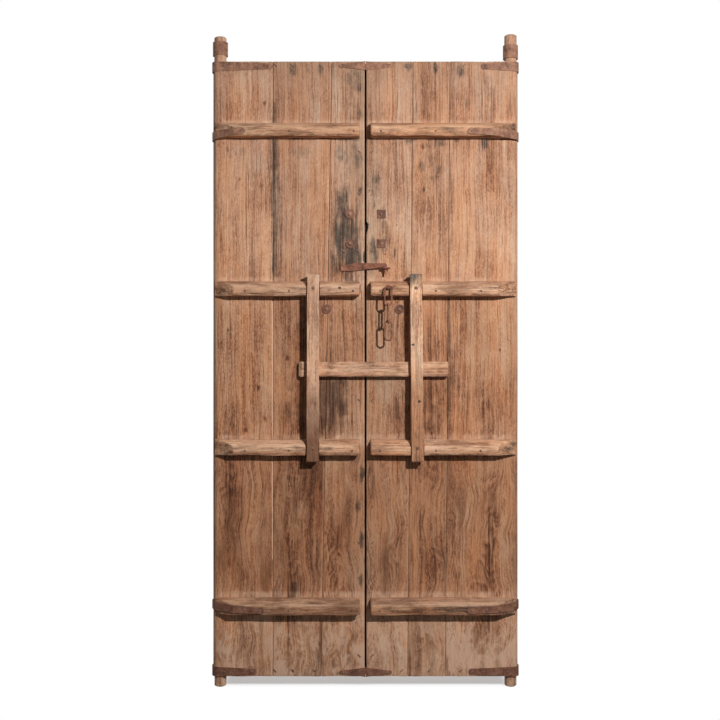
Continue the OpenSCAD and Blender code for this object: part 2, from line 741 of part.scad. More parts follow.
wood(right) stile(right);  // right_stile
wood(right) middle_plank(right);  // right_middle_plank
wood(right) inner_plank(right);  // right_inner_plank
wood(right) batten(right, bottom_batten);  // right_bottom_batten
wood(right) batten(right, lower_keeper_batten);  // right_lower_batten
wood(right) batten(right, upper_keeper_batten);  // right_upper_batten
wood(right) batten(right, top_batten);  // right_top_batten
wood(right) keeper(right);  // right_keeper
iron(right) nails(keeper_nail_places(right), keeper_nail_head_d);  // right_keeper_nails
iron(right) nails(batten_nail_places(right), batten_nail_head_d);  // right_batten_nails
iron(right) post_band(right);  // right_post_band
iron(right) outer_corner_strap(right, high_strap_z(strap_h), top_outer_reach[right]);  // right_top_outer_strap
iron(right) inner_corner_strap(right, high_strap_z(inner_strap_h));  // right_top_inner_strap
iron(right) outer_corner_strap(right, low_strap_z(strap_h), bottom_outer_reach[right]);  // right_bottom_outer_strap
iron(right) inner_corner_strap(right, low_strap_z(inner_strap_h));  // right_bottom_inner_strap
iron(right) batten_strap(right, top_batten, top_batten_reach[right]);  // right_top_batten_strap
iron(right) batten_strap(right, bottom_batten, bottom_batten_reach[right]);  // right_bottom_batten_strap
iron(right) strap_rivets(right);  // right_strap_rivets
iron(right) washers(right);  // right_washers
iron(right) washer_bolts(right);  // right_washer_bolts
iron(right) clinched_nails(right);  // right_clinched_nails

sliding_bar();
latch_hook();
latch_pivot_pin();
latch_eye();
chain_spike();
chain_link(1);  // chain_link_1
chain_link(2);  // chain_link_2
chain_link(3);  // chain_link_3
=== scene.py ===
"""Looks of an old barred pair of plank door leaves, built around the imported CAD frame."""
import math
import random

import bmesh
import bpy
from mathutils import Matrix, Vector, noise


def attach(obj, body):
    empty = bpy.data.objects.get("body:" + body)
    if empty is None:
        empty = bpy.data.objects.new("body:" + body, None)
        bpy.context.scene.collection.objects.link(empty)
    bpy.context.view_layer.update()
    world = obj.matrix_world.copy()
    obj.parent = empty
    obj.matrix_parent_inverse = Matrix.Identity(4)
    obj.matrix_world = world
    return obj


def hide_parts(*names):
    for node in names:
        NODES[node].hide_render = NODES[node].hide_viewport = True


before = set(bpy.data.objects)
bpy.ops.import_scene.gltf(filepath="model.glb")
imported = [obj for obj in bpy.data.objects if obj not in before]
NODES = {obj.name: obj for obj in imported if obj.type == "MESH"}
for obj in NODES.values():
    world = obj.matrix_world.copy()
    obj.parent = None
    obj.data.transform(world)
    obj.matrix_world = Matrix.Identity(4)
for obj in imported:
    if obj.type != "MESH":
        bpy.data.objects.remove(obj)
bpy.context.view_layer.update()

# Sizes of the CAD model, in metres. Leaves are described for the right-hand side and mirrored
# for the left.
FACE_Y = 0.012
PLANK_T = 0.046
HALF_W = 0.503
EDGE_R = 0.024
AXIS_X = HALF_W - EDGE_R
LEAF_LOW, LEAF_HIGH = 0.038, 2.059
INNER_X = 0.003
SEAM_GAP = 0.0008
SIDES = {"left": -1, "right": 1}
STILE_SEAM = {"left": (0.304, 0.304), "right": (0.262, 0.277)}
INNER_SEAM = {"left": (0.146, 0.111), "right": (0.138, 0.156)}
LIP = {"left": (-0.009, 0.024), "right": (0.011, 0.022)}
LIP_LOW, LIP_HIGH = LEAF_LOW + 0.0015, LEAF_HIGH - 0.0015
POST_TOP = {"left": LEAF_HIGH + 0.087, "right": LEAF_HIGH + 0.094}
POST_R, FOOT_R = 0.0205, 0.020
LEVELS = ("bottom", "lower", "upper", "top")
BATTEN_Z = {name: 0.274 + 0.5185 * k for k, name in enumerate(LEVELS)}
BATTEN_PROUD, BATTEN_HALF = 0.042, 0.026
BATTEN_FROM = {"left": 0.019, "right": 0.016}
BATTEN_TO, BEVEL_X, BEVEL_END = HALF_W - 0.010, HALF_W - 0.076, 0.008
SLOT_DEPTH, SLOT_HALF = 0.0123, 0.0135
KEEPER_X = {"left": (0.172, 0.170), "right": (0.169, 0.163)}
KEEPER_LOW, KEEPER_HIGH = BATTEN_Z["lower"] - 0.046, BATTEN_Z["upper"] + 0.046
KEEPER_HALF, KEEPER_BACK, KEEPER_FRONT = 0.0215, 0.018, 0.050
BAR_Z = (KEEPER_LOW + KEEPER_HIGH) / 2 - 0.004
BAR_FROM, BAR_TO, BAR_HALF, BAR_BACK, BAR_FRONT = -0.218, 0.271, 0.025, 0.004, 0.028
BAR_BEVEL = 0.012
# Clearance round a housed piece, and half the width of a sharp step in a mesh
CLEAR, HAIR = 0.0003, 0.0002

# The 720-pixel view: metres to a pixel, and the pixel where x and z are zero
PIXEL, ZERO_PX, ZERO_PZ = 0.00328, 365.6, 688.7

CAMERA_AT, CAMERA_LENS, CAMERA_SENSOR = (-0.018, FACE_Y - 3.4, 1.078), 51.8, 36.0
KEY_AT, KEY_POWER, KEY_SIZE = (1.0, FACE_Y - 2.3, 2.04), 275.0, 0.05
KEY_COLOUR = (1.0, 0.965, 0.92)
# The world's light is dim in front, so that the lamp's shadows stay dark, and bright behind
FILL_LEVEL = (("From Min", -0.1), ("From Max", 0.6), ("To Min", 0.09), ("To Max", 1.0))
WHITE = (1, 1, 1, 1)
# The floor: size, roughness, share of real shade that the camera sees near the leaves, and its
# colours to bounced light and to the camera
FLOOR_SIZE, FLOOR_ROUGH, FLOOR_SHADE = 12, 0.9, 0.84
FLOOR_BOUNCE, FLOOR_SEEN = (0.10, 0.10, 0.10), (0.86, 0.86, 0.86)


def at(pair, z):
    """A seam's place at height z, from its places at the leaf's bottom and top."""
    return pair[0] + (pair[1] - pair[0]) * (z - LEAF_LOW) / (LEAF_HIGH - LEAF_LOW)


def seen(px, pz):
    """Place on the planks' inner face of a point of the 720-pixel view, as x and z."""
    return (px - ZERO_PX) * PIXEL, (ZERO_PZ - pz) * PIXEL


def add_object(name, data):
    obj = bpy.data.objects.new(name, data)
    bpy.context.scene.collection.objects.link(obj)
    return obj


# Camera, lights and stage
def make_camera():
    data = bpy.data.cameras.new("camera")
    data.lens = CAMERA_LENS
    data.sensor_width = CAMERA_SENSOR
    cam = add_object("camera", data)
    cam.location = CAMERA_AT
    cam.rotation_euler = (math.radians(90), 0, 0)
    bpy.context.scene.camera = cam


def make_lights():
    lamp = bpy.data.lights.new("key", "POINT")
    lamp.energy = KEY_POWER
    lamp.shadow_soft_size = KEY_SIZE
    lamp.color = KEY_COLOUR
    add_object("key", lamp).location = KEY_AT
    world = bpy.data.worlds.new("world")
    bpy.context.scene.world = world
    world.use_nodes = True
    t = world.node_tree
    t.nodes.clear()
    path = t.nodes.new("ShaderNodeLightPath")
    shown = t.nodes.new("ShaderNodeMath")
    shown.operation = "MAXIMUM"
    t.links.new(path.outputs["Is Camera Ray"], shown.inputs[0])
    t.links.new(path.outputs["Is Glossy Ray"], shown.inputs[1])
    fill = t.nodes.new("ShaderNodeBackground")
    fill.inputs["Color"].default_value = WHITE
    way = t.nodes.new("ShaderNodeSeparateXYZ")
    t.links.new(t.nodes.new("ShaderNodeTexCoord").outputs["Generated"], way.inputs[0])
    level = t.nodes.new("ShaderNodeMapRange")
    level.interpolation_type = "SMOOTHSTEP"
    for field, value in FILL_LEVEL:
        level.inputs[field].default_value = value
    t.links.new(way.outputs["Y"], level.inputs["Value"])
    t.links.new(level.outputs[0], fill.inputs["Strength"])
    white = t.nodes.new("ShaderNodeBackground")
    white.inputs["Color"].default_value = WHITE
    white.inputs["Strength"].default_value = 1.0
    mix = t.nodes.new("ShaderNodeMixShader")
    out = t.nodes.new("ShaderNodeOutputWorld")
    t.links.new(shown.outputs[0], mix.inputs[0])
    t.links.new(fill.outputs[0], mix.inputs[1])
    t.links.new(white.outputs[0], mix.inputs[2])
    t.links.new(mix.outputs[0], out.inputs[0])


class Shader:
    """A material's node tree, with short calls that return sockets."""

    def __init__(self, name):
        self.mat = bpy.data.materials.new(name)
        self.mat.use_nodes = True
        self.tree = self.mat.node_tree
        self.bsdf = self.tree.nodes["Principled BSDF"]
        self.output = self.tree.nodes["Material Output"]
        self.place = self.node("ShaderNodeTexCoord").outputs["Object"]

    def node(self, kind, **fields):
        n = self.tree.nodes.new(kind)
        for key, value in fields.items():
            setattr(n, key, value)
        return n

    def feed(self, socket, value):
        """Link a socket or set a value, where a colour may leave out its alpha."""
        if isinstance(value, bpy.types.NodeSocket):
            self.tree.links.new(value, socket)
        elif isinstance(value, (int, float)):
            socket.default_value = value
        else:
            value = tuple(value)
            socket.default_value = value + (1.0,) * (len(socket.default_value) - len(value))

    def math(self, operation, a, b=0.0, c=0.0, clamp=False):
        n = self.node("ShaderNodeMath", operation=operation, use_clamp=clamp)
        for socket, value in zip(n.inputs, (a, b, c)):
            self.feed(socket, value)
        return n.outputs[0]

    def add(self, *terms):
        total = terms[0]
        for term in terms[1:]:
            total = self.math("ADD", total, term)
        return total

    def times(self, a, b):
        return self.math("MULTIPLY", a, b)

    def length(self, a, b):
        return self.math("SQRT", self.add(self.times(a, a), self.times(b, b)))

    def axes(self):
        n = self.node("ShaderNodeSeparateXYZ")
        self.feed(n.inputs[0], self.place)
        return n.outputs

    def vector(self, x, y, z):
        n = self.node("ShaderNodeCombineXYZ")
        for socket, value in zip(n.inputs, (x, y, z)):
            self.feed(socket, value)
        return n.outputs[0]

    def attribute(self, name):
        return self.node("ShaderNodeAttribute", attribute_name=name).outputs["Fac"]

    def noise(self, vector, scale, detail, rough):
        n = self.node("ShaderNodeTexNoise")
        self.feed(n.inputs["Vector"], vector)
        n.inputs["Scale"].default_value = scale
        n.inputs["Detail"].default_value = detail
        n.inputs["Roughness"].default_value = rough
        return n.outputs["Fac"]

    def span(self, value, low, high, to_low=0.0, to_high=1.0):
        """A smooth step from one level to another between two values."""
        n = self.node("ShaderNodeMapRange", interpolation_type="SMOOTHSTEP")
        fields = ("Value", "From Min", "From Max", "To Min", "To Max")
        for key, v in zip(fields, (value, low, high, to_low, to_high)):
            self.feed(n.inputs[key], v)
        return n.outputs[0]

    def ramp(self, value, stops):
        n = self.node("ShaderNodeValToRGB")
        self.feed(n.inputs[0], value)
        e = n.color_ramp.elements
        while len(e) < len(stops):
            e.new(0.5)
        for item, (place, colour) in zip(e, stops):
            item.position = place
            item.color = tuple(colour) + (1.0,)
        return n.outputs["Color"]

    def mix(self, share, a, b, blend="MIX"):
        n = self.node("ShaderNodeMix", data_type="RGBA", blend_type=blend)
        self.feed(n.inputs[0], share)
        self.feed(n.inputs[6], a)
        self.feed(n.inputs[7], b)
        return n.outputs[2]

    def tint(self, share, colour, by):
        return self.mix(share, colour, by, "MULTIPLY")

    def bump(self, height, distance, strength):
        n = self.node("ShaderNodeBump")
        self.feed(n.inputs["Height"], height)
        n.inputs["Distance"].default_value = distance
        n.inputs["Strength"].default_value = strength
        return n.outputs[0]

    def finish(self, colour, rough, normal, metallic=0.0):
        self.feed(self.bsdf.inputs["Base Color"], colour)
        self.feed(self.bsdf.inputs["Roughness"], rough)
        self.feed(self.bsdf.inputs["Normal"], normal)
        self.bsdf.inputs["Metallic"].default_value = metallic
        return self.mat


def srgb(r, g, b):
    """A colour as written for a screen, 0 to 255, in the linear values that shaders take."""
    def one(v):
        v /= 255.0
        return v / 12.92 if v <= 0.04045 else ((v + 0.055) / 1.055) ** 2.4
    return (one(r), one(g), one(b))


def make_floor():
    """A white floor that keeps only the soft shade behind the leaves' lower edge."""
    bpy.ops.mesh.primitive_plane_add(size=FLOOR_SIZE, location=(0, 0, 0))
    floor = bpy.context.object
    floor.name = "floor"
    s = Shader("floor_white")
    x, y, _ = s.axes()
    near_y = s.times(s.span(y, 0.025, 0.080), s.span(y, 0.14, 0.30, 1.0, 0.0))
    near_x = s.span(s.math("ABSOLUTE", x), 0.45, 0.51, 1.0, 0.0)
    near = s.times(near_y, near_x)
    by_camera = s.node("ShaderNodeLightPath").outputs["Is Camera Ray"]
    shown = s.times(by_camera, s.math("SUBTRACT", 1.0, s.times(near, FLOOR_SHADE)))
    white = s.node("ShaderNodeEmission")
    white.inputs["Color"].default_value = WHITE
    white.inputs["Strength"].default_value = 1.0
    s.feed(s.bsdf.inputs["Base Color"], s.mix(by_camera, FLOOR_BOUNCE, FLOOR_SEEN))
    s.bsdf.inputs["Roughness"].default_value = FLOOR_ROUGH
    mix = s.node("ShaderNodeMixShader")
    s.feed(mix.inputs[0], shown)
    s.tree.links.new(s.bsdf.outputs[0], mix.inputs[1])
    s.tree.links.new(white.outputs[0], mix.inputs[2])
    s.tree.links.new(mix.outputs[0], s.output.inputs[0])
    floor.data.materials.append(s.mat)


# Worn boards, in metres. Depth is measured into the planks from their inner face, and out is
# measured out of it.
SHARP_ANGLE = math.radians(55)
COLUMN_STEP, ROW_STEP, POST_STEP = 0.0036, 0.0105, 0.006
BATTEN_STEP, PIECE_STEP = 0.004, 0.005
EDGE_COLUMNS = (0.0008, 0.002, 0.0035)
CRACK_COLUMNS = (-1.6, -1, -0.4, 0, 0.4, 1, 1.6)
EDGE_DEPTHS = (0.004, 0.012, 0.022, 0.034, 0.042)
ROUND_STEPS, POST_STEPS = 14, 40
# The step at a plank's inner edge, and how dark its faces at the seam are painted, as shade in the gap
# and dirt
REBATE, SEAM_SHADE_AND_DIRT = 0.023, 1.6
CORNER, CORNER_DEPTH = 0.0045, 0.0028
CHIP_REACH, CHIP_LOW, CHIP_HIGH = 0.012, 0.0035, 0.0020
EASE, EASE_REACH = 60, 0.004
# Painted shadow as a dark line on the planks under the battens, and a pale worn strip above them
UNDER_BATTEN_SHADOW, ABOVE_STRIP = 0.005, 0.012
# A batten's rounded inner end, and where the lower part of its front turns back and is painted darker
# as shade
INNER_ROUND, INNER_INSET = 0.008, 0.007
LOW_FROM, LOW_REACH, LOW_TURN = 0.008, 0.018, 0.004
DENT_REACH, DENT_DEEP = (0.008, 0.026), (0.0008, 0.0026)
FRONT_HEIGHTS = (-0.023, -0.020, -0.016, -0.012, -0.008, -0.004, 0.0, 0.003)
TOP_CURVE = (1.0, 0.97, 0.93, 0.86, 0.76, 0.64, 0.5, 0.36, 0.2, 0.08)
TONGUE = ((0.001, -0.012), (-0.012, -0.016), (-0.012, 0.016), (0.001, 0.012))
BOX_STEP, BOX_CORNER, BOX_ENDS = 0.0042, 0.003, (0.0005, 0.002, 0.004)
BOX_CHIP, BOX_ROUND = 0.0034, 0.006
KEEPER_SLACK, KEEPER_WAVE, KEEPER_END, KEEPER_TOP = 0.0033, 0.0024, 0.07, 0.06
KEEPER_END_STAIN = {"left": 0.5, "right": 0.9}
# Places where the bar is rubbed dark, and the length of its left-hand end that is painted pale as a
# highlight
BAR_RUBBED, BAR_LIT_END = (-0.12, 0.02, 0.11, 0.25), 0.013
# A painted highlight along the left stile's edge at its seam, between these heights
LIT_LOW, LIT_HIGH, LIT_WIDTH, LIT_HIGHLIGHT = 0.42, 1.26, 0.0017, 3.0
# Old nail holes in a batten and a keeper: place in the view
HOLES = {"left_upper_batten": ((340, 288.5),), "right_keeper": ((412.5, 345), (418.5, 401))}
HOLE_R, HOLE_STEP, HOLE_DEPTH, HOLE_STAIN = 0.0048, 0.0013, 0.003, 6.0

# Stains: reach, raggedness and edge in half sizes, and how fast they fade at the edge
STAIN_REACH, STAIN_RAGGED, STAIN_EDGE, STAIN_FADE = 1.6, 0.9, 1.25, 1.5
# Dark stains on the planks: place in the view, half width and half height in its pixels, strength
STAINS = (
    (274.5, 195, 4.5, 105, 0.75), (276, 250, 6, 50, 0.45), (347, 238, 16, 48, 0.92),
    (341, 205, 9, 22, 0.6), (352, 285, 10, 12, 0.6), (336, 262, 5, 22, 0.6), (336, 60, 5, 40, 0.3),
    (304, 335, 4, 40, 0.45), (229, 500, 9, 75, 0.5), (237, 520, 3, 45, 0.6),
    (297, 525, 8, 55, 0.55), (294, 570, 5, 40, 0.5), (362, 475, 3, 10, 0.9), (359, 507, 3, 8, 0.8),
    (362, 540, 3, 10, 0.9), (361, 580, 3, 8, 0.7), (319, 560, 4, 30, 0.5), (288, 650, 3, 40, 0.5),
    (357, 450, 6, 30, 0.4), (372, 478, 4, 26, 0.5), (376, 190, 6, 22, 0.55), (384, 228, 8, 26, 0.5),
    (373, 252, 5, 16, 0.8), (370, 268, 4, 10, 0.5), (449, 360, 2.5, 100, 0.8),
    (452, 210, 3, 60, 0.35), (485, 143, 4, 8, 0.85), (409, 140, 5, 5, 0.8), (441, 143, 7, 4, 0.75),
    (436, 67, 4, 7, 0.95), (462, 70, 6, 8, 0.75), (293, 68, 5, 9, 0.75), (321, 69, 4, 9, 0.7),
    (352, 78, 13, 10, 0.6), (358, 86, 4, 9, 0.7), (307, 68, 4, 7, 0.55), (341, 155, 8, 9, 0.55),
    (359, 160, 4, 9, 0.6), (359, 113, 3, 7, 0.7), (235, 152, 14, 7, 0.4), (303, 152, 16, 8, 0.4),
    (408, 66, 5, 5, 0.9), (457, 140, 4, 4, 0.6), (423, 167, 5, 6, 0.65), (443, 168, 5, 6, 0.5),
    (424, 189, 1.2, 6, 0.9), (486, 540, 10, 80, 0.35), (455, 560, 6, 60, 0.35),
    (420, 600, 5, 60, 0.3), (437, 500, 4, 50, 0.4), (250, 75, 14, 10, 0.25), (384, 560, 5, 60, 0.3),
    (350, 150, 12, 30, 0.42), (352, 105, 10, 20, 0.4), (480, 92, 28, 24, 0.35),
    (430, 162, 14, 28, 0.42), (318, 175, 10, 25, 0.3), (303, 330, 7, 46, 0.6),
    (328, 402, 24, 40, 0.95), (434, 410, 14, 40, 0.55), (298, 405, 16, 40, 0.55),
    (388, 322, 12, 20, 0.45), (258, 400, 5, 40, 0.45), (364.3, 257.5, 1.6, 5.5, 1.6),
    (394.8, 253, 1.0, 7, 0.9), (320.7, 632, 1.3, 22, 1.2), (410, 664, 1.6, 18, 1.0),
    (360, 190, 2, 5, 0.8), (375, 204, 1.4, 3, 0.9), (240, 640, 12, 25, 0.3), (500, 640, 9, 25, 0.3),
    (400, 655, 12, 16, 0.3),
)
# Dark stains on the battens' fronts, in the same way
BATTEN_STAINS = (
    (242, 129, 24, 8, 0.55), (430, 128, 12, 8, 0.45), (452, 130, 20, 9, 0.70), (482, 131, 12, 8, 0.4),
    (300, 288, 10, 8, 0.40), (322, 290, 13, 8, 0.50), (486, 288, 12, 9, 0.50),
    (294, 447, 10, 9, 0.45), (322, 446, 13, 8, 0.45), (482, 447, 10, 8, 0.35),
    (396, 604, 14, 8, 0.40), (452, 605, 22, 9, 0.70), (484, 604, 14, 9, 0.75),
)
# Knots: place in the view and size in its pixels
KNOTS = (
    (264.5, 103, 1.8), (240, 179, 1.2), (258.5, 388, 1.8), (265, 419, 2.2), (287.5, 358, 2.0),
    (423, 147, 2.0), (424, 190, 1.4), (470, 432, 1.6), (246, 430, 1.6), (289, 478, 1.6),
    (228, 330, 1.2), (500, 350, 1.2), (344.5, 252.5, 0.8), (358.5, 252, 0.9), (371.5, 252, 0.9),
    (385, 254, 0.9), (369.5, 190.5, 0.9), (397, 225, 0.8),
)


def wave(a, b=0.0, c=0.0):
    """Smooth noise from 0 to 1."""
    return 0.5 + 0.5 * noise.noise(Vector((a, b, c)))


def clamp(value):
    return min(1.0, max(0.0, value))


def hump(value, centre, half):
    """1 at the centre, falling to 0 at the given distance from it."""
    return max(0.0, 1.0 - abs(value - centre) / half)


def spaced(low, high, step, extra=()):
    """Evenly spaced values from low to high, with some more between them."""
    count = max(1, round((high - low) / step))
    values = {round(low + (high - low) * k / count, 6) for k in range(count + 1)}
    return sorted(values | {round(v, 6) for v in extra if low < v < high})


def near_ends(low, high, distances):
    """Places at the given distances from both ends."""
    return [low + v for v in distances] + [high - v for v in distances]


class Board:
    """A wooden piece made of lofted skins. Each point is (x, y, z, wear and painted highlight, stain
    and painted shade, grey).
    """

    def __init__(self):
        self.points, self.faces = [], []

    def loft(self, rings):
        """A closed skin through rings of equal count, with both ends capped."""
        start, count = len(self.points), len(rings[0])
        for ring in rings:
            self.points.extend(ring)
        for r in range(len(rings) - 1):
            for k in range(count):
                a, b = start + r * count + k, start + r * count + (k + 1) % count
                self.faces.append((a, b, b + count, a + count))
        for r, ring in ((0, rings[0]), (len(rings) - 1, rings[-1])):
            self.points.append(tuple(sum(p[n] for p in ring) / count for n in range(6)))
            tip = len(self.points) - 1
            for k in range(count):
                self.faces.append((start + r * count + k, start + r * count + (k + 1) % count, tip))

    def finish(self, node, material, slot, body="leaves"):
        """Make the object that takes the place of a CAD node."""
        mesh = bpy.data.meshes.new(node + "_worn")
        mesh.from_pydata([p[:3] for p in self.points], [], self.faces)
        for n, key in enumerate(("wear_and_highlight", "stain_and_shade", "grey")):
            layer = mesh.attributes.new(key, "FLOAT", "POINT")
            layer.data.foreach_set("value", [p[3 + n] for p in self.points])
        bm = bmesh.new()
        bm.from_mesh(mesh)
        bmesh.ops.recalc_face_normals(bm, faces=bm.faces)
        bm.to_mesh(mesh)
        bm.free()
        mesh.polygons.foreach_set("use_smooth", [True] * len(mesh.polygons))
        mesh.set_sharp_from_angle(angle=SHARP_ANGLE)
        mesh.materials.append(material)
        piece = add_object(node + "_worn", mesh)
        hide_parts(node)
        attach(piece, body)


def stain_at(stains, x, z, wave_x, wave_z):
    """Strongest of the stains at a place, with edges ragged by waves of so many to the metre."""
    stain_and_shade = 0.0
    for px, pz, half_w, half_h, strength in stains:
        sx, sz = seen(px, pz)
        far = math.hypot((x - sx) / (half_w * PIXEL), (z - sz) / (half_h * PIXEL))
        if far < STAIN_REACH:
            ragged = far + STAIN_RAGGED * (wave(x * wave_x, z * wave_z, px) - 0.5)
            stain_and_shade = max(stain_and_shade, strength * clamp((STAIN_EDGE - ragged) * STAIN_FADE))
    return stain_and_shade


def plank_marks(x, z):
    """Stain, painted shadow under the battens, and grey weathering of the planks' inner face at a
    place.
    """
    stain_and_shade = stain_at(STAINS, x, z, 150, 16)
    for middle in BATTEN_Z.values():
        # Painted shadow: a dark line on the planks just under each batten
        under = middle - BATTEN_HALF - z
        if -0.004 < under < UNDER_BATTEN_SHADOW and 0.016 < abs(x) < BATTEN_TO:
            stain_and_shade = max(stain_and_shade, 0.9 * min(1.0, (UNDER_BATTEN_SHADOW - under) * 200))
    centre = hump(x, 0.0, 0.075) * (0.35 + 0.65 * clamp((z - 0.9) * 1.2))
    centre = max(centre, 0.9 * hump(x, 0.0, 0.17) * hump(z, 1.02, 0.36))
    ends = max(hump(z, LEAF_LOW, 0.10), hump(z, LEAF_HIGH, 0.12))
    grey = (0.9 * centre + 0.55 * ends) * (0.45 + 0.8 * wave(x * 45, z * 5, 3.3))
    return stain_and_shade, min(1.0, grey)


def relief(x, z, seed):
    """Depth worn off a plank's face between its harder grain lines."""
    return 0.0010 * wave(x * 150, z * 3.0, seed) + 0.0006 * wave(x * 45, z * 1.6, seed + 9)


def hole(node, x, z):
    """How far a place lies inside one of a piece's old nail holes, from 0 to 1."""
    places = [seen(*place) for place in HOLES.get(node, ())]
    return max([0.0] + [1.0 - math.dist((x, z), place) / HOLE_R for place in places])


def hole_steps(node, axis):
    """Places along a piece that give its nail holes enough points, on axis 0 for x or 1 for z."""
    return [abs(seen(*place)[axis]) + n * HOLE_STEP
            for place in HOLES.get(node, ()) for n in range(-4, 5)]


def crack(px, high_pz, low_pz, half, depth):
    """A crack between two heights of the view as (x, low, high, half width, depth)."""
    x, high = seen(px, high_pz)
    return (abs(x), seen(px, low_pz)[1], high, half, depth)


STILE_CRACKS = {
    "left": (crack(246, 150, 268, 0.0012, 0.0022), crack(231, 400, 440, 0.001, 0.002)),
    "right": (crack(470, 60, 110, 0.001, 0.002), crack(489, 480, 600, 0.0012, 0.0022)),
}
MIDDLE_CRACKS = {
    "left": (crack(288, 560, 688, 0.0016, 0.004), crack(300, 300, 352, 0.0014, 0.003)),
    "right": (crack(431, 270, 460, 0.0010, 0.002), crack(420, 470, 590, 0.0012, 0.0026)),
}
INNER_CRACKS = {
    "left": (crack(352, 60, 130, 0.0012, 0.0026), crack(343, 520, 590, 0.0010, 0.002)),
    "right": (crack(390, 110, 190, 0.0012, 0.0026), crack(402, 640, 688, 0.0012, 0.003)),
}


def cracked(cracks, x, z):
    """Depth of a plank's cracks at a place, and how far they are open there."""
    depth = split = 0.0
    for place, low, high, half, deep in cracks:
        if low < z < high:
            bent = place + 0.002 * (wave(z * 6, place * 90) - 0.5)
            opened = hump(x, bent, half * 1.3) * min(1.0, 8 * min(z - low, high - z))
            depth += deep * opened
            split = max(split, opened)
    return depth, split


def plank(node, side, edge_a, edge_b, seed, cracks, rounded=False, lip=None):
    """A plank between two edges, given as functions of z. A lip is (x, depth) of the back half."""
    sign = SIDES[side]
    middle = (LEAF_LOW + LEAF_HIGH) / 2
    from_x, width = edge_a(middle), edge_b(middle) - edge_a(middle)
    extra = near_ends(0, 1, [v / width for v in EDGE_COLUMNS])
    for x, _, _, half, _ in cracks:
        extra += [(x + n * half - from_x) / width for n in CRACK_COLUMNS]
    columns = spaced(0, 1, COLUMN_STEP / width, extra)
    back_columns = columns[::-2]
    rows = near_ends(LEAF_LOW, LEAF_HIGH, (0.001, 0.003))
    for z in BATTEN_Z.values():
        rows += [z + way * (SLOT_HALF + n * HAIR) for way in (-1, 1) for n in (-1, 1)]
    if lip:
        rows += [z + n * HAIR for z in (LIP_LOW, LIP_HIGH) for n in (-1, 1)]

    def ring_at(z):
        a, b = edge_a(z), edge_b(z)
        ease = EASE * max(0.0, EASE_REACH - min(z - LEAF_LOW, LEAF_HIGH - z)) ** 2
        in_slot = any(abs(z - level) < SLOT_HALF for level in BATTEN_Z.values())
        above = min((z - level - BATTEN_HALF for level in BATTEN_Z.values() if z > level), default=1.0)
        ring = []

        def put(x, depth, wear_and_highlight=0.0, stain_and_shade=0.0, grey=0.25):
            low_end = max(0.0, 1.0 - (z - LEAF_LOW) / CHIP_REACH)
            high_end = max(0.0, 1.0 - (LEAF_HIGH - z) / CHIP_REACH)
            chipped = z + CHIP_LOW * wave(x * 16, seed, 6) * low_end
            chipped -= CHIP_HIGH * wave(x * 12, seed, 9) * high_end
            ring.append((sign * x, FACE_Y + depth, chipped, wear_and_highlight, stain_and_shade, grey))

        # The inner face
        for t in columns:
            x = a + t * (b - a)
            depth = relief(x, z, seed) + ease
            near = min(x - a, 1.0 if rounded else b - x)
            corner = max(0.0, CORNER - near) / CORNER
            depth += CORNER_DEPTH * corner ** 2 * (0.35 + wave(z * 9, seed, 5))
            crack_depth, split = cracked(cracks, x, z)
            depth += crack_depth
            if in_slot and x > BATTEN_FROM[side] + 0.001:
                depth = max(depth, SLOT_DEPTH)
            stain_and_shade, grey = plank_marks(sign * x, z)
            dirt = min(1.0, split * 1.6 + 0.75 * corner ** 2 * wave(z * 5, seed, 3))
            wear_and_highlight = corner * wave(z * 12, seed, 7)
            if above < ABOVE_STRIP:
                wear_and_highlight = max(wear_and_highlight, 1.6 * wave(x * 60, z * 200, seed + 1) - 0.2)
            # Painted highlight: the left stile's edge at the seam is made pale, without stain
            if node == "left_stile" and x - a < LIT_WIDTH and LIT_LOW < z < LIT_HIGH:
                wear_and_highlight, stain_and_shade, dirt = LIT_HIGHLIGHT, 0.0, 0.0
            put(x, depth, wear_and_highlight, max(stain_and_shade, dirt), grey)
        # The outer edge
        if rounded:
            flat = math.asin(PLANK_T / 2 / EDGE_R)
            for k in range(1, ROUND_STEPS):
                angle = flat - 2 * flat * k / ROUND_STEPS
                r = EDGE_R - relief(angle * 0.02, z, seed + 4) - ease
                depth = PLANK_T / 2 - r * math.sin(angle)
                depth = max(depth, SLOT_DEPTH) if in_slot else depth
                put(AXIS_X + r * math.cos(angle), depth, 0.2)
        else:
            for depth in EDGE_DEPTHS:
                put(b, depth)
        # The back and the inner edge
        back_a, step = a, REBATE
        if lip and LIP_LOW < z < LIP_HIGH:
            back_a, step = max(lip[0], a) if lip[0] > 0 else lip[0], lip[1]
        for t in back_columns:
            x = back_a + t * (b - back_a)
            put(x, PLANK_T - relief(x, z, seed + 20) - ease, 0.0, 0.0, 0.5)
        put(back_a, EDGE_DEPTHS[-1])
        # The faces at the seam are painted dark: painted shade in the gap, and dirt
        put(back_a, step + HAIR, 0.0, SEAM_SHADE_AND_DIRT)
        put(a, step, 0.0, SEAM_SHADE_AND_DIRT)
        put(a, EDGE_DEPTHS[1], 0.0, SEAM_SHADE_AND_DIRT)
        put(a, EDGE_DEPTHS[0])
        return ring

    board = Board()
    board.loft([ring_at(z) for z in spaced(LEAF_LOW, LEAF_HIGH, ROW_STEP, rows)])
    return board


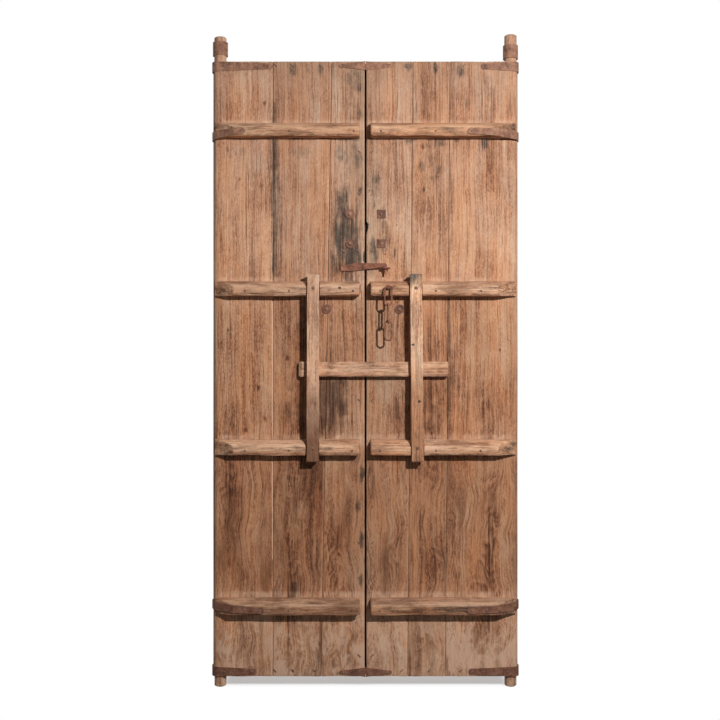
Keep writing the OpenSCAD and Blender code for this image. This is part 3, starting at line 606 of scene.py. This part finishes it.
def pivot_end(board, side, low, high, radius, seed):
    """The round post above a stile or the foot below it."""
    sign = SIDES[side]
    rings = []
    for z in spaced(low, high, POST_STEP, near_ends(low, high, (0.001, 0.003))):
        tip = min(z - low, high - z)
        rounding = 0.10 * max(0.0, 0.006 - tip) ** 2 / 0.0002
        ring = []
        for k in range(POST_STEPS):
            angle = 2 * math.pi * k / POST_STEPS
            split = 0.002 * max(0.0, wave(angle * 3, z * 7, seed) - 0.6) * 4
            r = radius - 0.0009 * wave(angle * 9, z * 12, seed) - split - rounding
            x, y = AXIS_X + r * math.cos(angle), FACE_Y + PLANK_T / 2 + r * math.sin(angle)
            wear_and_highlight, stain_and_shade = 0.5 * wave(angle * 4, z * 20, seed), 0.2 * wave(angle * 2, z * 30, seed)
            ring.append((sign * x, y, z, wear_and_highlight, stain_and_shade, 0.2))
        rings.append(ring)
    board.loft(rings)


def dents(seed, count, low, high, half_h):
    """Seeded dents along a piece: place along it, place across it, radius and depth."""
    pick = random.Random(seed)
    return [(pick.uniform(low, high), pick.uniform(-half_h, half_h),
             pick.uniform(*DENT_REACH), pick.uniform(*DENT_DEEP)) for _ in range(count)]


def dent_depth(marks, along, across):
    return sum(deep * max(0.0, 1.0 - math.hypot((along - u) * 0.5, across - v) / r) ** 1.5
               for u, v, r, deep in marks)


def batten_section():
    """Points round a batten as (out of the planks, height from its middle, kind of face)."""
    section = [(BATTEN_PROUD * t, -BATTEN_HALF, "low") for t in (-0.06, 0.2, 0.45, 0.7, 0.86)]
    section += [(BATTEN_PROUD - 0.003, -BATTEN_HALF, "low_edge"),
                (BATTEN_PROUD - 0.001, -BATTEN_HALF + 0.001, "low_edge")]
    section += [(BATTEN_PROUD, h, "front") for h in FRONT_HEIGHTS]
    section += [(BATTEN_PROUD * t, BATTEN_HALF - 0.020 * t * t, "high_edge" if t > 0.8 else "top")
                for t in TOP_CURVE]
    return section + [(-0.0025, BATTEN_HALF - 0.001, "back"), (-0.0025, 0.0, "back")]


def batten(node, side, level, seed):
    """A batten with a bevelled outer end, a rounded inner end and a tongue in the planks."""
    sign, mid_z = SIDES[side], BATTEN_Z[level]
    low_x, high_x = BATTEN_FROM[side], BATTEN_TO
    housed = level in ("lower", "upper")
    keeper_mid = KEEPER_X[side][0 if level == "lower" else 1]
    housing = (keeper_mid - KEEPER_HALF - CLEAR, keeper_mid + KEEPER_HALF + CLEAR)
    marks = dents(seed, 16, low_x, high_x, BATTEN_HALF)
    section = batten_section()
    extra = [BEVEL_X, high_x - 0.001] + [low_x + v for v in (0.0006, 0.002, 0.004, 0.007)]
    extra += hole_steps(node, 0)
    if housed:
        extra += [x + n * HAIR for x in housing for n in (-1, 1)]
    rings = []
    for x in spaced(low_x, high_x, BATTEN_STEP, extra):
        limit = BATTEN_PROUD
        if x >= BEVEL_X:
            limit += (BEVEL_END - BATTEN_PROUD) * (x - BEVEL_X) / (high_x - BEVEL_X)
        if x > BEVEL_X - 0.03:
            limit -= 0.0012 * wave(x * 60, seed, 2)
        end = max(0.0, 1.0 - (x - low_x) / INNER_ROUND)
        inset = INNER_INSET * (1.0 - math.sqrt(max(0.0, 1.0 - end * end)))
        ring = []
        for out, h, kind in section:
            wear_and_highlight = stain_and_shade = 0.0
            if kind != "back":
                worn = 0.0005 * wave(x * 25, h * 160, seed)
                worn += 0.0007 * wave(x * 18, h * 420, seed + 3)
                worn += dent_depth(marks, x, h)
                if kind == "low":
                    uneven = 0.0025 * wave(x * 9, seed, 1) * min(1.0, max(0.0, out) / 0.02)
                    h += worn + uneven + inset
                elif kind == "top":
                    h -= worn + 0.4 * inset
                    # The top face is painted paler: partly wear, partly a painted highlight of the
                    # light from above
                    wear_and_highlight = 0.5
                else:
                    out -= worn + inset
                if kind == "front":
                    inside = hole(node, sign * x, mid_z + h)
                    stain_and_shade = max(0.0, wave(x * 16, h * 60, seed + 5) - 0.62) * 1.6
                    stain_and_shade += HOLE_STAIN * inside
                    stain_and_shade = max(stain_and_shade, stain_at(BATTEN_STAINS, sign * x, mid_z + h, 20, 120))
                    low_part = max(0.0, (-h - LOW_FROM) / LOW_REACH)
                    out -= LOW_TURN * low_part ** 2
                    # Except on the bottom battens, painted shade darkens the lower front and a painted
                    # highlight makes the upper front paler
                    if level != "bottom":
                        stain_and_shade = max(stain_and_shade, 0.7 * low_part)
                        wear_and_highlight = 0.6 * max(0.0, 1.0 - 2.0 * low_part)
                    out -= HOLE_DEPTH * inside
                elif kind.endswith("_edge"):
                    out -= 0.0022 * wave(x * 22, seed, 8) ** 2
                    if kind == "low_edge":
                        h += 0.0035 * wave(x * 9, seed, 1) + inset
                        wear_and_highlight = 0.35
                    else:
                        h += -0.0012 * wave(x * 16, seed, 6) - 0.4 * inset
                        # The upper arris is painted pale: partly wear, partly a painted highlight
                        wear_and_highlight = 1.0
                out = min(out, limit)
                if out == limit and limit < BATTEN_PROUD - 0.002:
                    stain_and_shade, wear_and_highlight = 0.35 + 0.3 * wave(x * 40, h * 90, seed), 0.1
                if housed and housing[0] < x < housing[1]:
                    out = min(out, KEEPER_BACK)
            grey = 0.3 * wave(x * 8, h * 40, seed)
            ring.append((sign * x, FACE_Y - out, mid_z + h, wear_and_highlight, stain_and_shade, grey))
        rings.append(ring)
    board = Board()
    board.loft(rings)
    board.loft([[(sign * x, FACE_Y - out, mid_z + h, 0.0, 0.4, 0.3) for out, h in TONGUE]
                for x in (low_x + 0.001, high_x)])
    return board


def box_ring(half_a, low_b, high_b):
    """Points round a rectangle as (a, b, way a, way b, edge), where edge is 1 at the corners."""
    across = spaced(-half_a + BOX_CORNER, half_a - BOX_CORNER, BOX_STEP)
    along = spaced(low_b + BOX_CORNER, high_b - BOX_CORNER, BOX_STEP)
    c, d = BOX_CORNER * 0.3, 0.7
    ring = [(a, high_b, 0, 1, 0) for a in across] + [(half_a - c, high_b - c, d, d, 1)]
    ring += [(half_a, b, 1, 0, 0) for b in reversed(along)] + [(half_a - c, low_b + c, d, -d, 1)]
    ring += [(a, low_b, 0, -1, 0) for a in reversed(across)] + [(c - half_a, low_b + c, -d, -d, 1)]
    ring += [(-half_a, b, -1, 0, 0) for b in along] + [(c - half_a, high_b - c, -d, d, 1)]
    return ring


def worn_box_point(a, b, way_a, way_b, edge, along, end, seed, marks):
    """A worn rectangular piece's point and wear, so far along it and from its nearer end."""
    worn = 0.0006 * wave(a * 160, b * 160, along * 14 + seed)
    worn += 0.0005 * wave(a * 420, b * 420, along * 22 + seed)
    worn += dent_depth(marks, along, a)
    worn += edge * BOX_CHIP * wave(along * 13, a * 40, seed + b * 40) ** 1.5
    near_end = max(0.0, 1.0 - end / BOX_ROUND)
    worn += BOX_ROUND * (1.0 - math.sqrt(max(0.0, 1.0 - near_end ** 2)))
    return a - way_a * worn, b - way_b * worn, min(1.0, edge * 0.9 + 0.15)


def keeper(node, side, seed):
    """An upright keeper with the bar's slot at its back."""
    sign = SIDES[side]
    low_x, high_x = KEEPER_X[side]
    section = box_ring(KEEPER_HALF, KEEPER_BACK, KEEPER_FRONT)
    marks = dents(seed, 14, KEEPER_LOW, KEEPER_HIGH, KEEPER_HALF)
    slot = (BAR_Z - BAR_HALF - CLEAR, BAR_Z + BAR_HALF + KEEPER_SLACK)
    extra = [z + n * HAIR for z in slot for n in (-1, 1)]
    extra += hole_steps(node, 1) + near_ends(KEEPER_LOW, KEEPER_HIGH, BOX_ENDS)
    rings = []
    for z in spaced(KEEPER_LOW, KEEPER_HIGH, PIECE_STEP, extra):
        mid = low_x + (high_x - low_x) * ((z - KEEPER_LOW) / (KEEPER_HIGH - KEEPER_LOW))
        tip = min(z - KEEPER_LOW, KEEPER_HIGH - z)
        near_end = max(0.0, 1.0 - tip / KEEPER_END)
        ring = []
        for point in section:
            a, out, wear_and_highlight = worn_box_point(*point, z, tip, seed, marks)
            a -= point[2] * KEEPER_WAVE * wave(z * 5, point[2] * 7, seed + 8)
            if slot[0] < z < slot[1]:
                out = max(out, BAR_FRONT + CLEAR)
            stain_and_shade = max(0.0, wave(a * 60, z * 9, seed + 2) - 0.6) * 1.3
            stain_and_shade += KEEPER_END_STAIN[side] * near_end * wave(a * 90, z * 20, seed)
            stain_and_shade += HOLE_STAIN * hole(node, sign * (mid + a), z)
            if side == "right":
                near_top = max(0.0, 1.0 - (KEEPER_HIGH - z) / KEEPER_TOP)
                stain_and_shade += near_top * (0.4 + 0.6 * wave(a * 90, z * 30, seed + 4))
            grey = 0.9 * wave(a * 40, z * 5, seed)
            ring.append((sign * (mid + a), FACE_Y - out, z, wear_and_highlight, stain_and_shade, grey))
        rings.append(ring)
    board = Board()
    board.loft(rings)
    return board


def bar(seed):
    """The sliding bar, bevelled at its left-hand end."""
    section = box_ring(BAR_HALF, BAR_BACK, BAR_FRONT)
    marks = dents(seed, 14, BAR_FROM, BAR_TO, BAR_HALF)
    extra = near_ends(BAR_FROM, BAR_TO, BOX_ENDS) + [BAR_FROM + BAR_BEVEL]
    rings = []
    for x in spaced(BAR_FROM, BAR_TO, PIECE_STEP, extra):
        rubbed = sum(hump(x, place, 0.035) for place in BAR_RUBBED)
        ring = []
        for point in section:
            h, out, wear_and_highlight = worn_box_point(*point, x, min(x - BAR_FROM, BAR_TO - x), seed, marks)
            out = min(out, BAR_FRONT - max(0.0, BAR_FROM + BAR_BEVEL - x))
            stain_and_shade = max(0.0, wave(x * 14, h * 60, seed + 2) - 0.62) * 1.3
            stain_and_shade += 1.1 * rubbed * wave(x * 40, h * 120, seed)
            stain_and_shade = max(stain_and_shade, 0.9 * max(0.0, (-h - 0.006) / 0.018))
            # Painted highlight: the bevelled left-hand end is made pale and free of stains
            if x < BAR_FROM + BAR_LIT_END:
                wear_and_highlight, stain_and_shade = 1.0, 0.0
            grey = 0.4 * wave(x * 6, h * 40, seed)
            ring.append((x, FACE_Y - out, BAR_Z + h, wear_and_highlight, stain_and_shade, grey))
        rings.append(ring)
    board = Board()
    board.loft(rings)
    return board


# Materials. Noise patterns of the wood: waves to the metre across and along the grain, offset,
# detail and roughness.
GRAIN = {
    "swirl": (8.0, 5.0, 20.0, 2.0, 0.55),
    "drift": (5.0, 1.3, 1.0, 2.0, 0.55),
    "ripple": (26.0, 3.2, 2.0, 3.0, 0.6),
    "fibre": (290.0, 3.0, 3.0, 3.0, 0.62),
    "streak": (120.0, 2.8, 4.0, 3.0, 0.6),
    "band": (42.0, 2.0, 7.0, 3.0, 0.55),
    "cloud": (8.0, 4.2, 5.0, 5.0, 0.62),
    "grit": (420.0, 120.0, 18.0, 2.0, 0.7),
    "smoke": (42.0, 22.0, 19.0, 5.0, 0.66),
    "pores": (900.0, 30.0, 6.0, 2.0, 0.55),
    "shows": (11.0, 1.8, 8.0, 2.0, 0.55),
    "hue": (16.0, 3.4, 30.0, 4.0, 0.6),
    "red": (95.0, 2.4, 9.0, 4.0, 0.65),
    "warm": (60.0, 2.2, 17.0, 3.0, 0.55),
    "pink": (110.0, 4.0, 12.0, 4.0, 0.7),
    "black": (230.0, 4.5, 15.0, 3.0, 0.6),
    "flame": (17.0, 2.6, 21.0, 4.0, 0.6),
    "patch": (34.0, 8.0, 22.0, 5.0, 0.65),
}
SEED_SHIFT = 3.7
# Places of the five tones, the middle one, and the share of the patterns and offset in a tone
TONE_STOPS, MID_TONE, TONE_OFFSET = (0.24, 0.40, 0.51, 0.62, 0.78), 0.51, -0.71
FIBRE, STREAK, BAND, CLOUD, GRIT, SMOKE = 0.46, 0.34, 0.28, 0.58, 0.55, 0.30
# A knot's metres to a pixel along the grain, and the top of the planks' tints by height
KNOT_LENGTH, SHADES_TOP = 0.0046, 2.2
# Tones written for a screen
PLANK_TONES = ((104, 66, 46), (158, 112, 84), (193, 145, 116), (208, 164, 134), (224, 190, 164))
BATTEN_TONES = ((96, 58, 38), (150, 102, 74), (190, 140, 108), (210, 162, 128), (234, 200, 172))
KEEPER_TONES = ((104, 68, 48), (160, 114, 86), (202, 156, 126), (218, 178, 148), (236, 204, 178))
WARM_STREAK, PALE_FLAME, SCUFFED = (214, 152, 110), (204, 146, 106), (216, 178, 152)
GREY, PALE_GREY, LOW_GREY = (152, 131, 110), (200, 170, 150), (206, 168, 144)
# Tints that a colour is multiplied by
ORANGE_CAST, ASHEN_CAST = (1.07, 0.985, 0.89), (0.95, 1.01, 1.08)
DARK_FLAME, DIRT = (0.45, 0.34, 0.25), (0.42, 0.36, 0.31)
IRON_STAIN, BROWN_STAIN, BAR_STAIN = (0.15, 0.19, 0.23), (0.36, 0.27, 0.20), (0.40, 0.33, 0.29)
# Tint of the planks by height, stepping at the battens: light at the foot, darkest between the bottom
# and lower battens, and lighter again above the upper batten
PLANK_SHADES = (
    (0.0, (1.0, 1.0, 0.98)), (0.25, (1.0, 0.98, 0.94)), (0.34, (0.70, 0.59, 0.49)),
    (0.74, (0.66, 0.55, 0.45)), (0.86, (0.76, 0.67, 0.58)), (1.24, (0.75, 0.68, 0.61)),
    (1.40, (0.92, 0.93, 0.93)), (2.0, (0.76, 0.77, 0.79)),
)
STILE_SHADE = {"left": 1.045, "right": 0.99}
BATTEN_SHADE = {"bottom": 0.89, "lower": 1.03, "upper": 1.0, "top": 0.94}
PLANK_SEED, BATTEN_SEED, BAR_SEED = {"left": 10, "right": 20}, 40, 62
# Keepers: side, seed, shade, and the two heights and the tint of the darker lower part
KEEPER_LOOKS = (
    ("left", 60, 1.03, (1.05, 0.80, (0.34, 0.25, 0.19))),
    ("right", 61, 1.18, (1.09, 0.95, (0.62, 0.47, 0.37))),
)
# A notch in the right leaf's inner edge: height above the upper batten, height and depth
NOTCH_FROM, NOTCH_HEIGHT, NOTCH_DEPTH = 0.179, 0.042, 0.007
# How far the posts and feet run into the stiles
POST_OVERLAP = 0.02
IRON_TONES = {
    "low_strap": ((72, 42, 32), (124, 82, 64), (160, 116, 94)),
    "strap": ((80, 50, 38), (138, 97, 76), (174, 134, 110)),
    "nail": ((74, 54, 46), (124, 94, 80), (160, 128, 112)),
    "washer": ((64, 39, 30), (116, 76, 60), (154, 108, 88)),
    "bolt": ((88, 58, 46), (150, 112, 92), (196, 156, 134)),
    "latch": ((74, 44, 33), (134, 84, 64), (176, 122, 96)),
}
IRON_BEVEL, LATCH_BEVEL, BEVEL_STEPS, BEVEL_ANGLE = 0.0006, 0.0004, 2, math.radians(40)


def wood(name, along, seed, tones, heart, tilt=0.03, ring_mm=6.0, contrast=1.0, dirt=0.0, knots=(),
         by_height=(), low_tint=None, stain_tint=IRON_STAIN, grey_tone=GREY):
    """Old bare elm with its grain along X or Z. Tones run from dark to light.

    The growth rings' heart is (place across the grain, depth) and tilts along the piece.
    by_height holds the planks' tints, and low_tint is (high, low, tint) of a lower part.
    """
    s = Shader(name)
    x, y, z = s.axes()
    length, side = (x, z) if along == "X" else (z, x)
    colours = [srgb(*tone) for tone in tones]
    dark, brown, pale = colours[0], colours[1], colours[-1]

    def drawn(kind, flow):
        """A noise pattern stretched along the grain, where flow is the place across it."""
        across, lengthwise, more, detail, rough = GRAIN[kind]
        place = s.vector(s.math("MULTIPLY_ADD", flow, across, SEED_SHIFT * seed + more),
                         s.times(y, across), s.math("MULTIPLY_ADD", length, lengthwise, more))
        return s.noise(place, 1.0, detail, rough)

    # The grain swirls, most in the lower part of the planks
    wild = s.span(z, 0.98, 0.62, 0.25, 1.0) if by_height else 0.4
    swirl = s.times(s.add(drawn("swirl", side), -0.5), wild)
    flow = s.add(side, s.times(swirl, 0.07))
    drift, ripple, fibre, streak, band, cloud, grit, smoke, pores, shows = (
        drawn(kind, flow) for kind in ("drift", "ripple", "fibre", "streak", "band", "cloud",
                                       "grit", "smoke", "pores", "shows"))
    # Growth rings round a heart that lies behind the face and drifts along the piece
    across = s.add(side, s.times(drift, 0.09), -heart[0] - 0.045)
    depth = s.add(s.times(length, tilt), s.times(drift, 0.10), s.times(ripple, 0.016),
                  s.times(swirl, 0.10), heart[1])
    turn = s.math("FRACT", s.times(s.length(across, depth), 1000.0 / ring_mm))
    rings = s.times(s.span(turn, 0.10, 0.80), s.span(turn, 0.82, 1.0, 1.0, 0.0))
    grain = s.times(rings, s.span(shows, 0.42, 0.66))
    tone = s.add(s.times(grain, s.math("MULTIPLY_ADD", wild, -0.10, -0.05)), s.times(fibre, FIBRE),
                 s.times(streak, STREAK), s.times(band, BAND), s.times(cloud, CLOUD),
                 s.times(grit, GRIT), s.times(smoke, SMOKE), TONE_OFFSET)
    crisp = s.span(z, 1.36, 1.22, 1.05, 1.45) if by_height else contrast
    tone = s.math("MULTIPLY_ADD", s.add(tone, -MID_TONE), crisp, MID_TONE)
    for px, pz, size in knots:
        kx, kz = seen(px, pz)
        u = s.times(s.math("SUBTRACT", x, kx), 1 / (size * PIXEL))
        v = s.times(s.math("SUBTRACT", z, kz), 1 / (size * KNOT_LENGTH))
        far = s.add(s.length(u, v), s.times(fibre, 0.8))
        tone = s.math("SUBTRACT", tone, s.span(far, 0.5, 1.9, 0.34, 0.0))
    # Patches and streaks of other colours
    colour = s.ramp(tone, list(zip(TONE_STOPS, colours)))
    hue = drawn("hue", flow)
    orange, ashen = (s.tint(1.0, colour, cast) for cast in (ORANGE_CAST, ASHEN_CAST))
    colour = s.mix(s.span(hue, 0.50, 0.38), colour, ashen)
    colour = s.mix(s.span(hue, 0.50, 0.62), colour, orange)
    colour = s.mix(s.span(drawn("red", flow), 0.56, 0.74, 0.0, 0.45), colour, brown)
    warm = s.times(s.span(drawn("warm", flow), 0.47, 0.62), s.span(fibre, 0.44, 0.64, 0.0, 0.7))
    colour = s.mix(warm, colour, srgb(*WARM_STREAK))
    colour = s.mix(s.span(drawn("pink", flow), 0.55, 0.70, 0.0, 0.60), colour, pale)
    colour = s.mix(s.span(drawn("black", flow), 0.60, 0.66, 0.0, 0.70), colour, dark)
    grey_tint = srgb(*grey_tone)
    if by_height:
        height = s.math("MULTIPLY_ADD", cloud, 0.16, s.math("SUBTRACT", z, 0.08))
        shades = [(h / SHADES_TOP, c) for h, c in by_height]
        colour = s.tint(1.0, colour, s.ramp(s.times(height, 1 / SHADES_TOP), shades))
        flame = s.times(s.add(drawn("flame", flow), s.times(fibre, 0.25)), 1 / 1.25)
        dark_flame = s.times(s.span(flame, 0.50, 0.66, 0.0, 0.92), wild)
        colour = s.tint(dark_flame, colour, DARK_FLAME)
        pale_flame = s.times(s.span(flame, 0.48, 0.34, 0.0, 0.38), wild)
        colour = s.mix(pale_flame, colour, srgb(*PALE_FLAME))
        rubbed = s.span(s.add(smoke, s.times(swirl, 1.2)), 0.46, 0.66, 0.1, 0.8)
        colour = s.mix(s.times(s.span(z, 0.34, 0.10), rubbed), colour, srgb(*SCUFFED))
        grey_tint = s.mix(s.span(z, 0.45, 0.30), grey_tint, srgb(*LOW_GREY))
        # Stains are blacker near the ironwork
        high_up = s.add(s.span(z, 0.66, 0.90, 0.0, 0.45), s.span(z, 1.25, 1.40, 0.0, 0.55))
        by_iron = s.math("MAXIMUM", high_up, s.span(s.math("ABSOLUTE", x), 0.040, 0.022))
        stain_tint = s.mix(by_iron, BROWN_STAIN, stain_tint)
    # Weathering, wear with painted highlights, and stains with painted shade from the mesh, broken up
    # by the grain
    silvered = s.span(s.add(streak, s.times(fibre, 0.5)), 0.45, 1.05)
    grey = s.math("MULTIPLY", s.attribute("grey"), silvered, clamp=True)
    colour = s.mix(s.times(grey, 0.75), colour, grey_tint)
    wear_and_highlight = s.times(s.attribute("wear_and_highlight"), s.span(s.add(ripple, s.times(fibre, 0.4)), 0.42, 0.85))
    colour = s.mix(s.times(wear_and_highlight, 0.62), colour, pale)
    marks = s.attribute("stain_and_shade")
    ragged = s.add(marks, s.times(smoke, -1.5), s.times(fibre, -0.8), 1.05)
    stain_and_shade = s.times(s.span(ragged, 0.0, 1.05), s.span(marks, 0.0, 0.45))
    colour = s.tint(stain_and_shade, colour, stain_tint)
    if low_tint:
        high, low, tint = low_tint
        uneven_z = s.math("MULTIPLY_ADD", smoke, 0.10, s.add(z, -0.05))
        colour = s.tint(s.span(uneven_z, high, low), colour, tint)
    if dirt:
        colour = s.tint(s.span(drawn("patch", flow), 0.46, 0.63, 0.0, dirt), colour, DIRT)
    colour = s.mix(s.span(pores, 0.60, 0.72, 0.0, 0.35), colour, dark)
    height = s.add(fibre, s.times(streak, 0.7), s.times(grain, -0.4), s.times(pores, -0.35))
    normal = s.bump(height, 0.0014, 0.75)
    return s.finish(colour, s.span(fibre, 0.3, 0.7, 0.92, 0.76), normal)


def iron(name, tones):
    """Rusted wrought iron, hammered and pitted. Tones run from dark to light."""
    s = Shader(name)
    hammered = s.noise(s.place, 55.0, 3.0, 0.5)
    rust = s.noise(s.place, 130.0, 5.0, 0.65)
    fine = s.noise(s.place, 620.0, 3.0, 0.6)
    tone = s.add(s.times(hammered, 0.45), s.times(rust, 0.40), s.times(fine, 0.15))
    colour = s.ramp(tone, list(zip((0.36, 0.50, 0.66), (srgb(*t) for t in tones))))
    normal = s.bump(s.add(hammered, s.times(rust, 0.6), s.times(fine, 0.25)), 0.0022, 0.7)
    return s.finish(colour, s.span(rust, 0.3, 0.7, 0.58, 0.86), normal, metallic=0.12)


def shaded(tones, factor, red=1.0):
    """Tones made lighter or darker, and redder or greyer."""
    return tuple((min(255, r * factor * red), min(255, g * factor), min(255, b * factor / red))
                 for r, g, b in tones)


def seam(pair, way):
    """One side of the gap between two planks, as a function of z."""
    return lambda z: at(pair, z) + way * SEAM_GAP / 2


def inner_edge(side):
    """A leaf's inner edge as a function of z, with the right leaf's notch."""
    def edge(z):
        rise = (z - BATTEN_Z["upper"] - NOTCH_FROM) / NOTCH_HEIGHT
        notched = side == "right" and 0 < rise < 1
        return INNER_X + (NOTCH_DEPTH * min(1.0, rise * 1.5) if notched else 0.0)
    return edge


def make_planks():
    for side, sign in SIDES.items():
        first = PLANK_SEED[side]
        outer_pair, inner_pair = STILE_SEAM[side], INNER_SEAM[side]
        stile = plank(side + "_stile", side, seam(outer_pair, 1), lambda z: AXIS_X, first,
                      STILE_CRACKS[side], rounded=True)
        pivot_end(stile, side, LEAF_HIGH - POST_OVERLAP, POST_TOP[side], POST_R, first + 5)
        pivot_end(stile, side, 0.0, LEAF_LOW + POST_OVERLAP, FOOT_R, first + 6)
        middle = plank(side + "_middle_plank", side, seam(inner_pair, 1), seam(outer_pair, -1),
                       first + 1, MIDDLE_CRACKS[side])
        inner = plank(side + "_inner_plank", side, inner_edge(side), seam(inner_pair, -1),
                      first + 2, INNER_CRACKS[side], lip=LIP[side])
        # Ending of the name, board, where its knots lie, heart, shade and redness
        boards = (
            ("_stile", stile, (0.29, 0.6), (0.40, 0.055), STILE_SHADE[side], 1.01),
            ("_middle_plank", middle, (0.14, 0.29), (0.21, 0.045), 0.96, 1.02),
            ("_inner_plank", inner, (0.0, 0.14), (0.06, 0.06), 1.0, 1.0),
        )
        for n, (ending, board, (low, high), heart, shade, red) in enumerate(boards):
            node = side + ending
            knots = [k for k in KNOTS if low < sign * seen(k[0], k[1])[0] < high]
            paint = wood(node, "Z", first + n, shaded(PLANK_TONES, shade, red),
                         (sign * heart[0], heart[1]), tilt=0.022 + 0.009 * n, ring_mm=8.0,
                         knots=knots, by_height=PLANK_SHADES)
            board.finish(node, paint, "weathered_planks")


def make_battens():
    seed = BATTEN_SEED
    for side in SIDES:
        for level in BATTEN_Z:
            seed += 1
            node = "%s_%s_batten" % (side, level)
            tones = shaded(BATTEN_TONES, BATTEN_SHADE[level], 1.04 if level == "top" else 1.01)
            paint = wood(node, "X", seed, tones, (BATTEN_Z[level] + 0.02, 0.06), tilt=0.05,
                         ring_mm=7.0, contrast=1.05, dirt=0.8)
            batten(node, side, level, seed).finish(node, paint, "battens")


def make_keepers_and_bar():
    for side, seed, shade, low_tint in KEEPER_LOOKS:
        node = side + "_keeper"
        paint = wood(node, "Z", seed, shaded(KEEPER_TONES, shade), (SIDES[side] * 0.15, 0.05),
                     contrast=0.95, dirt=0.4, low_tint=low_tint, grey_tone=PALE_GREY)
        keeper(node, side, seed).finish(node, paint, "keepers_and_bar")
    paint = wood("sliding_bar", "X", BAR_SEED, shaded(KEEPER_TONES, 1.02, 1.02),
                 (BAR_Z + 0.03, 0.05), tilt=0.04, contrast=0.9, dirt=0.6, stain_tint=BAR_STAIN)
    bar(BAR_SEED).finish("sliding_bar", paint, "keepers_and_bar", "sliding_bar")


def iron_of(name):
    """Which iron a CAD node is made of, or None for a wooden one."""
    if name.endswith(("_strap", "_band")):
        return "low_strap" if "_bottom_" in name else "strap"
    if name.endswith("_washers"):
        return "washer"
    if name.startswith(("latch", "chain")):
        return "latch"
    if name.endswith("_bolts"):
        return "bolt"
    return "nail" if name.endswith(("_nails", "_rivets")) else None


def make_ironwork():
    paints = {kind: iron(kind + "_iron", tones) for kind, tones in IRON_TONES.items()}
    for name, obj in NODES.items():
        kind = iron_of(name)
        if kind:
            obj.data.materials.clear()
            obj.data.materials.append(paints[kind])
            m = obj.modifiers.new("worn_edges", "BEVEL")
            m.width = LATCH_BEVEL if kind == "latch" else IRON_BEVEL
            m.segments = BEVEL_STEPS
            m.limit_method = "ANGLE"
            m.angle_limit = BEVEL_ANGLE


make_camera()
make_lights()
make_floor()
make_planks()
make_battens()
make_keepers_and_bar()
make_ironwork()

scene = bpy.context.scene
scene.view_settings.view_transform = "Standard"
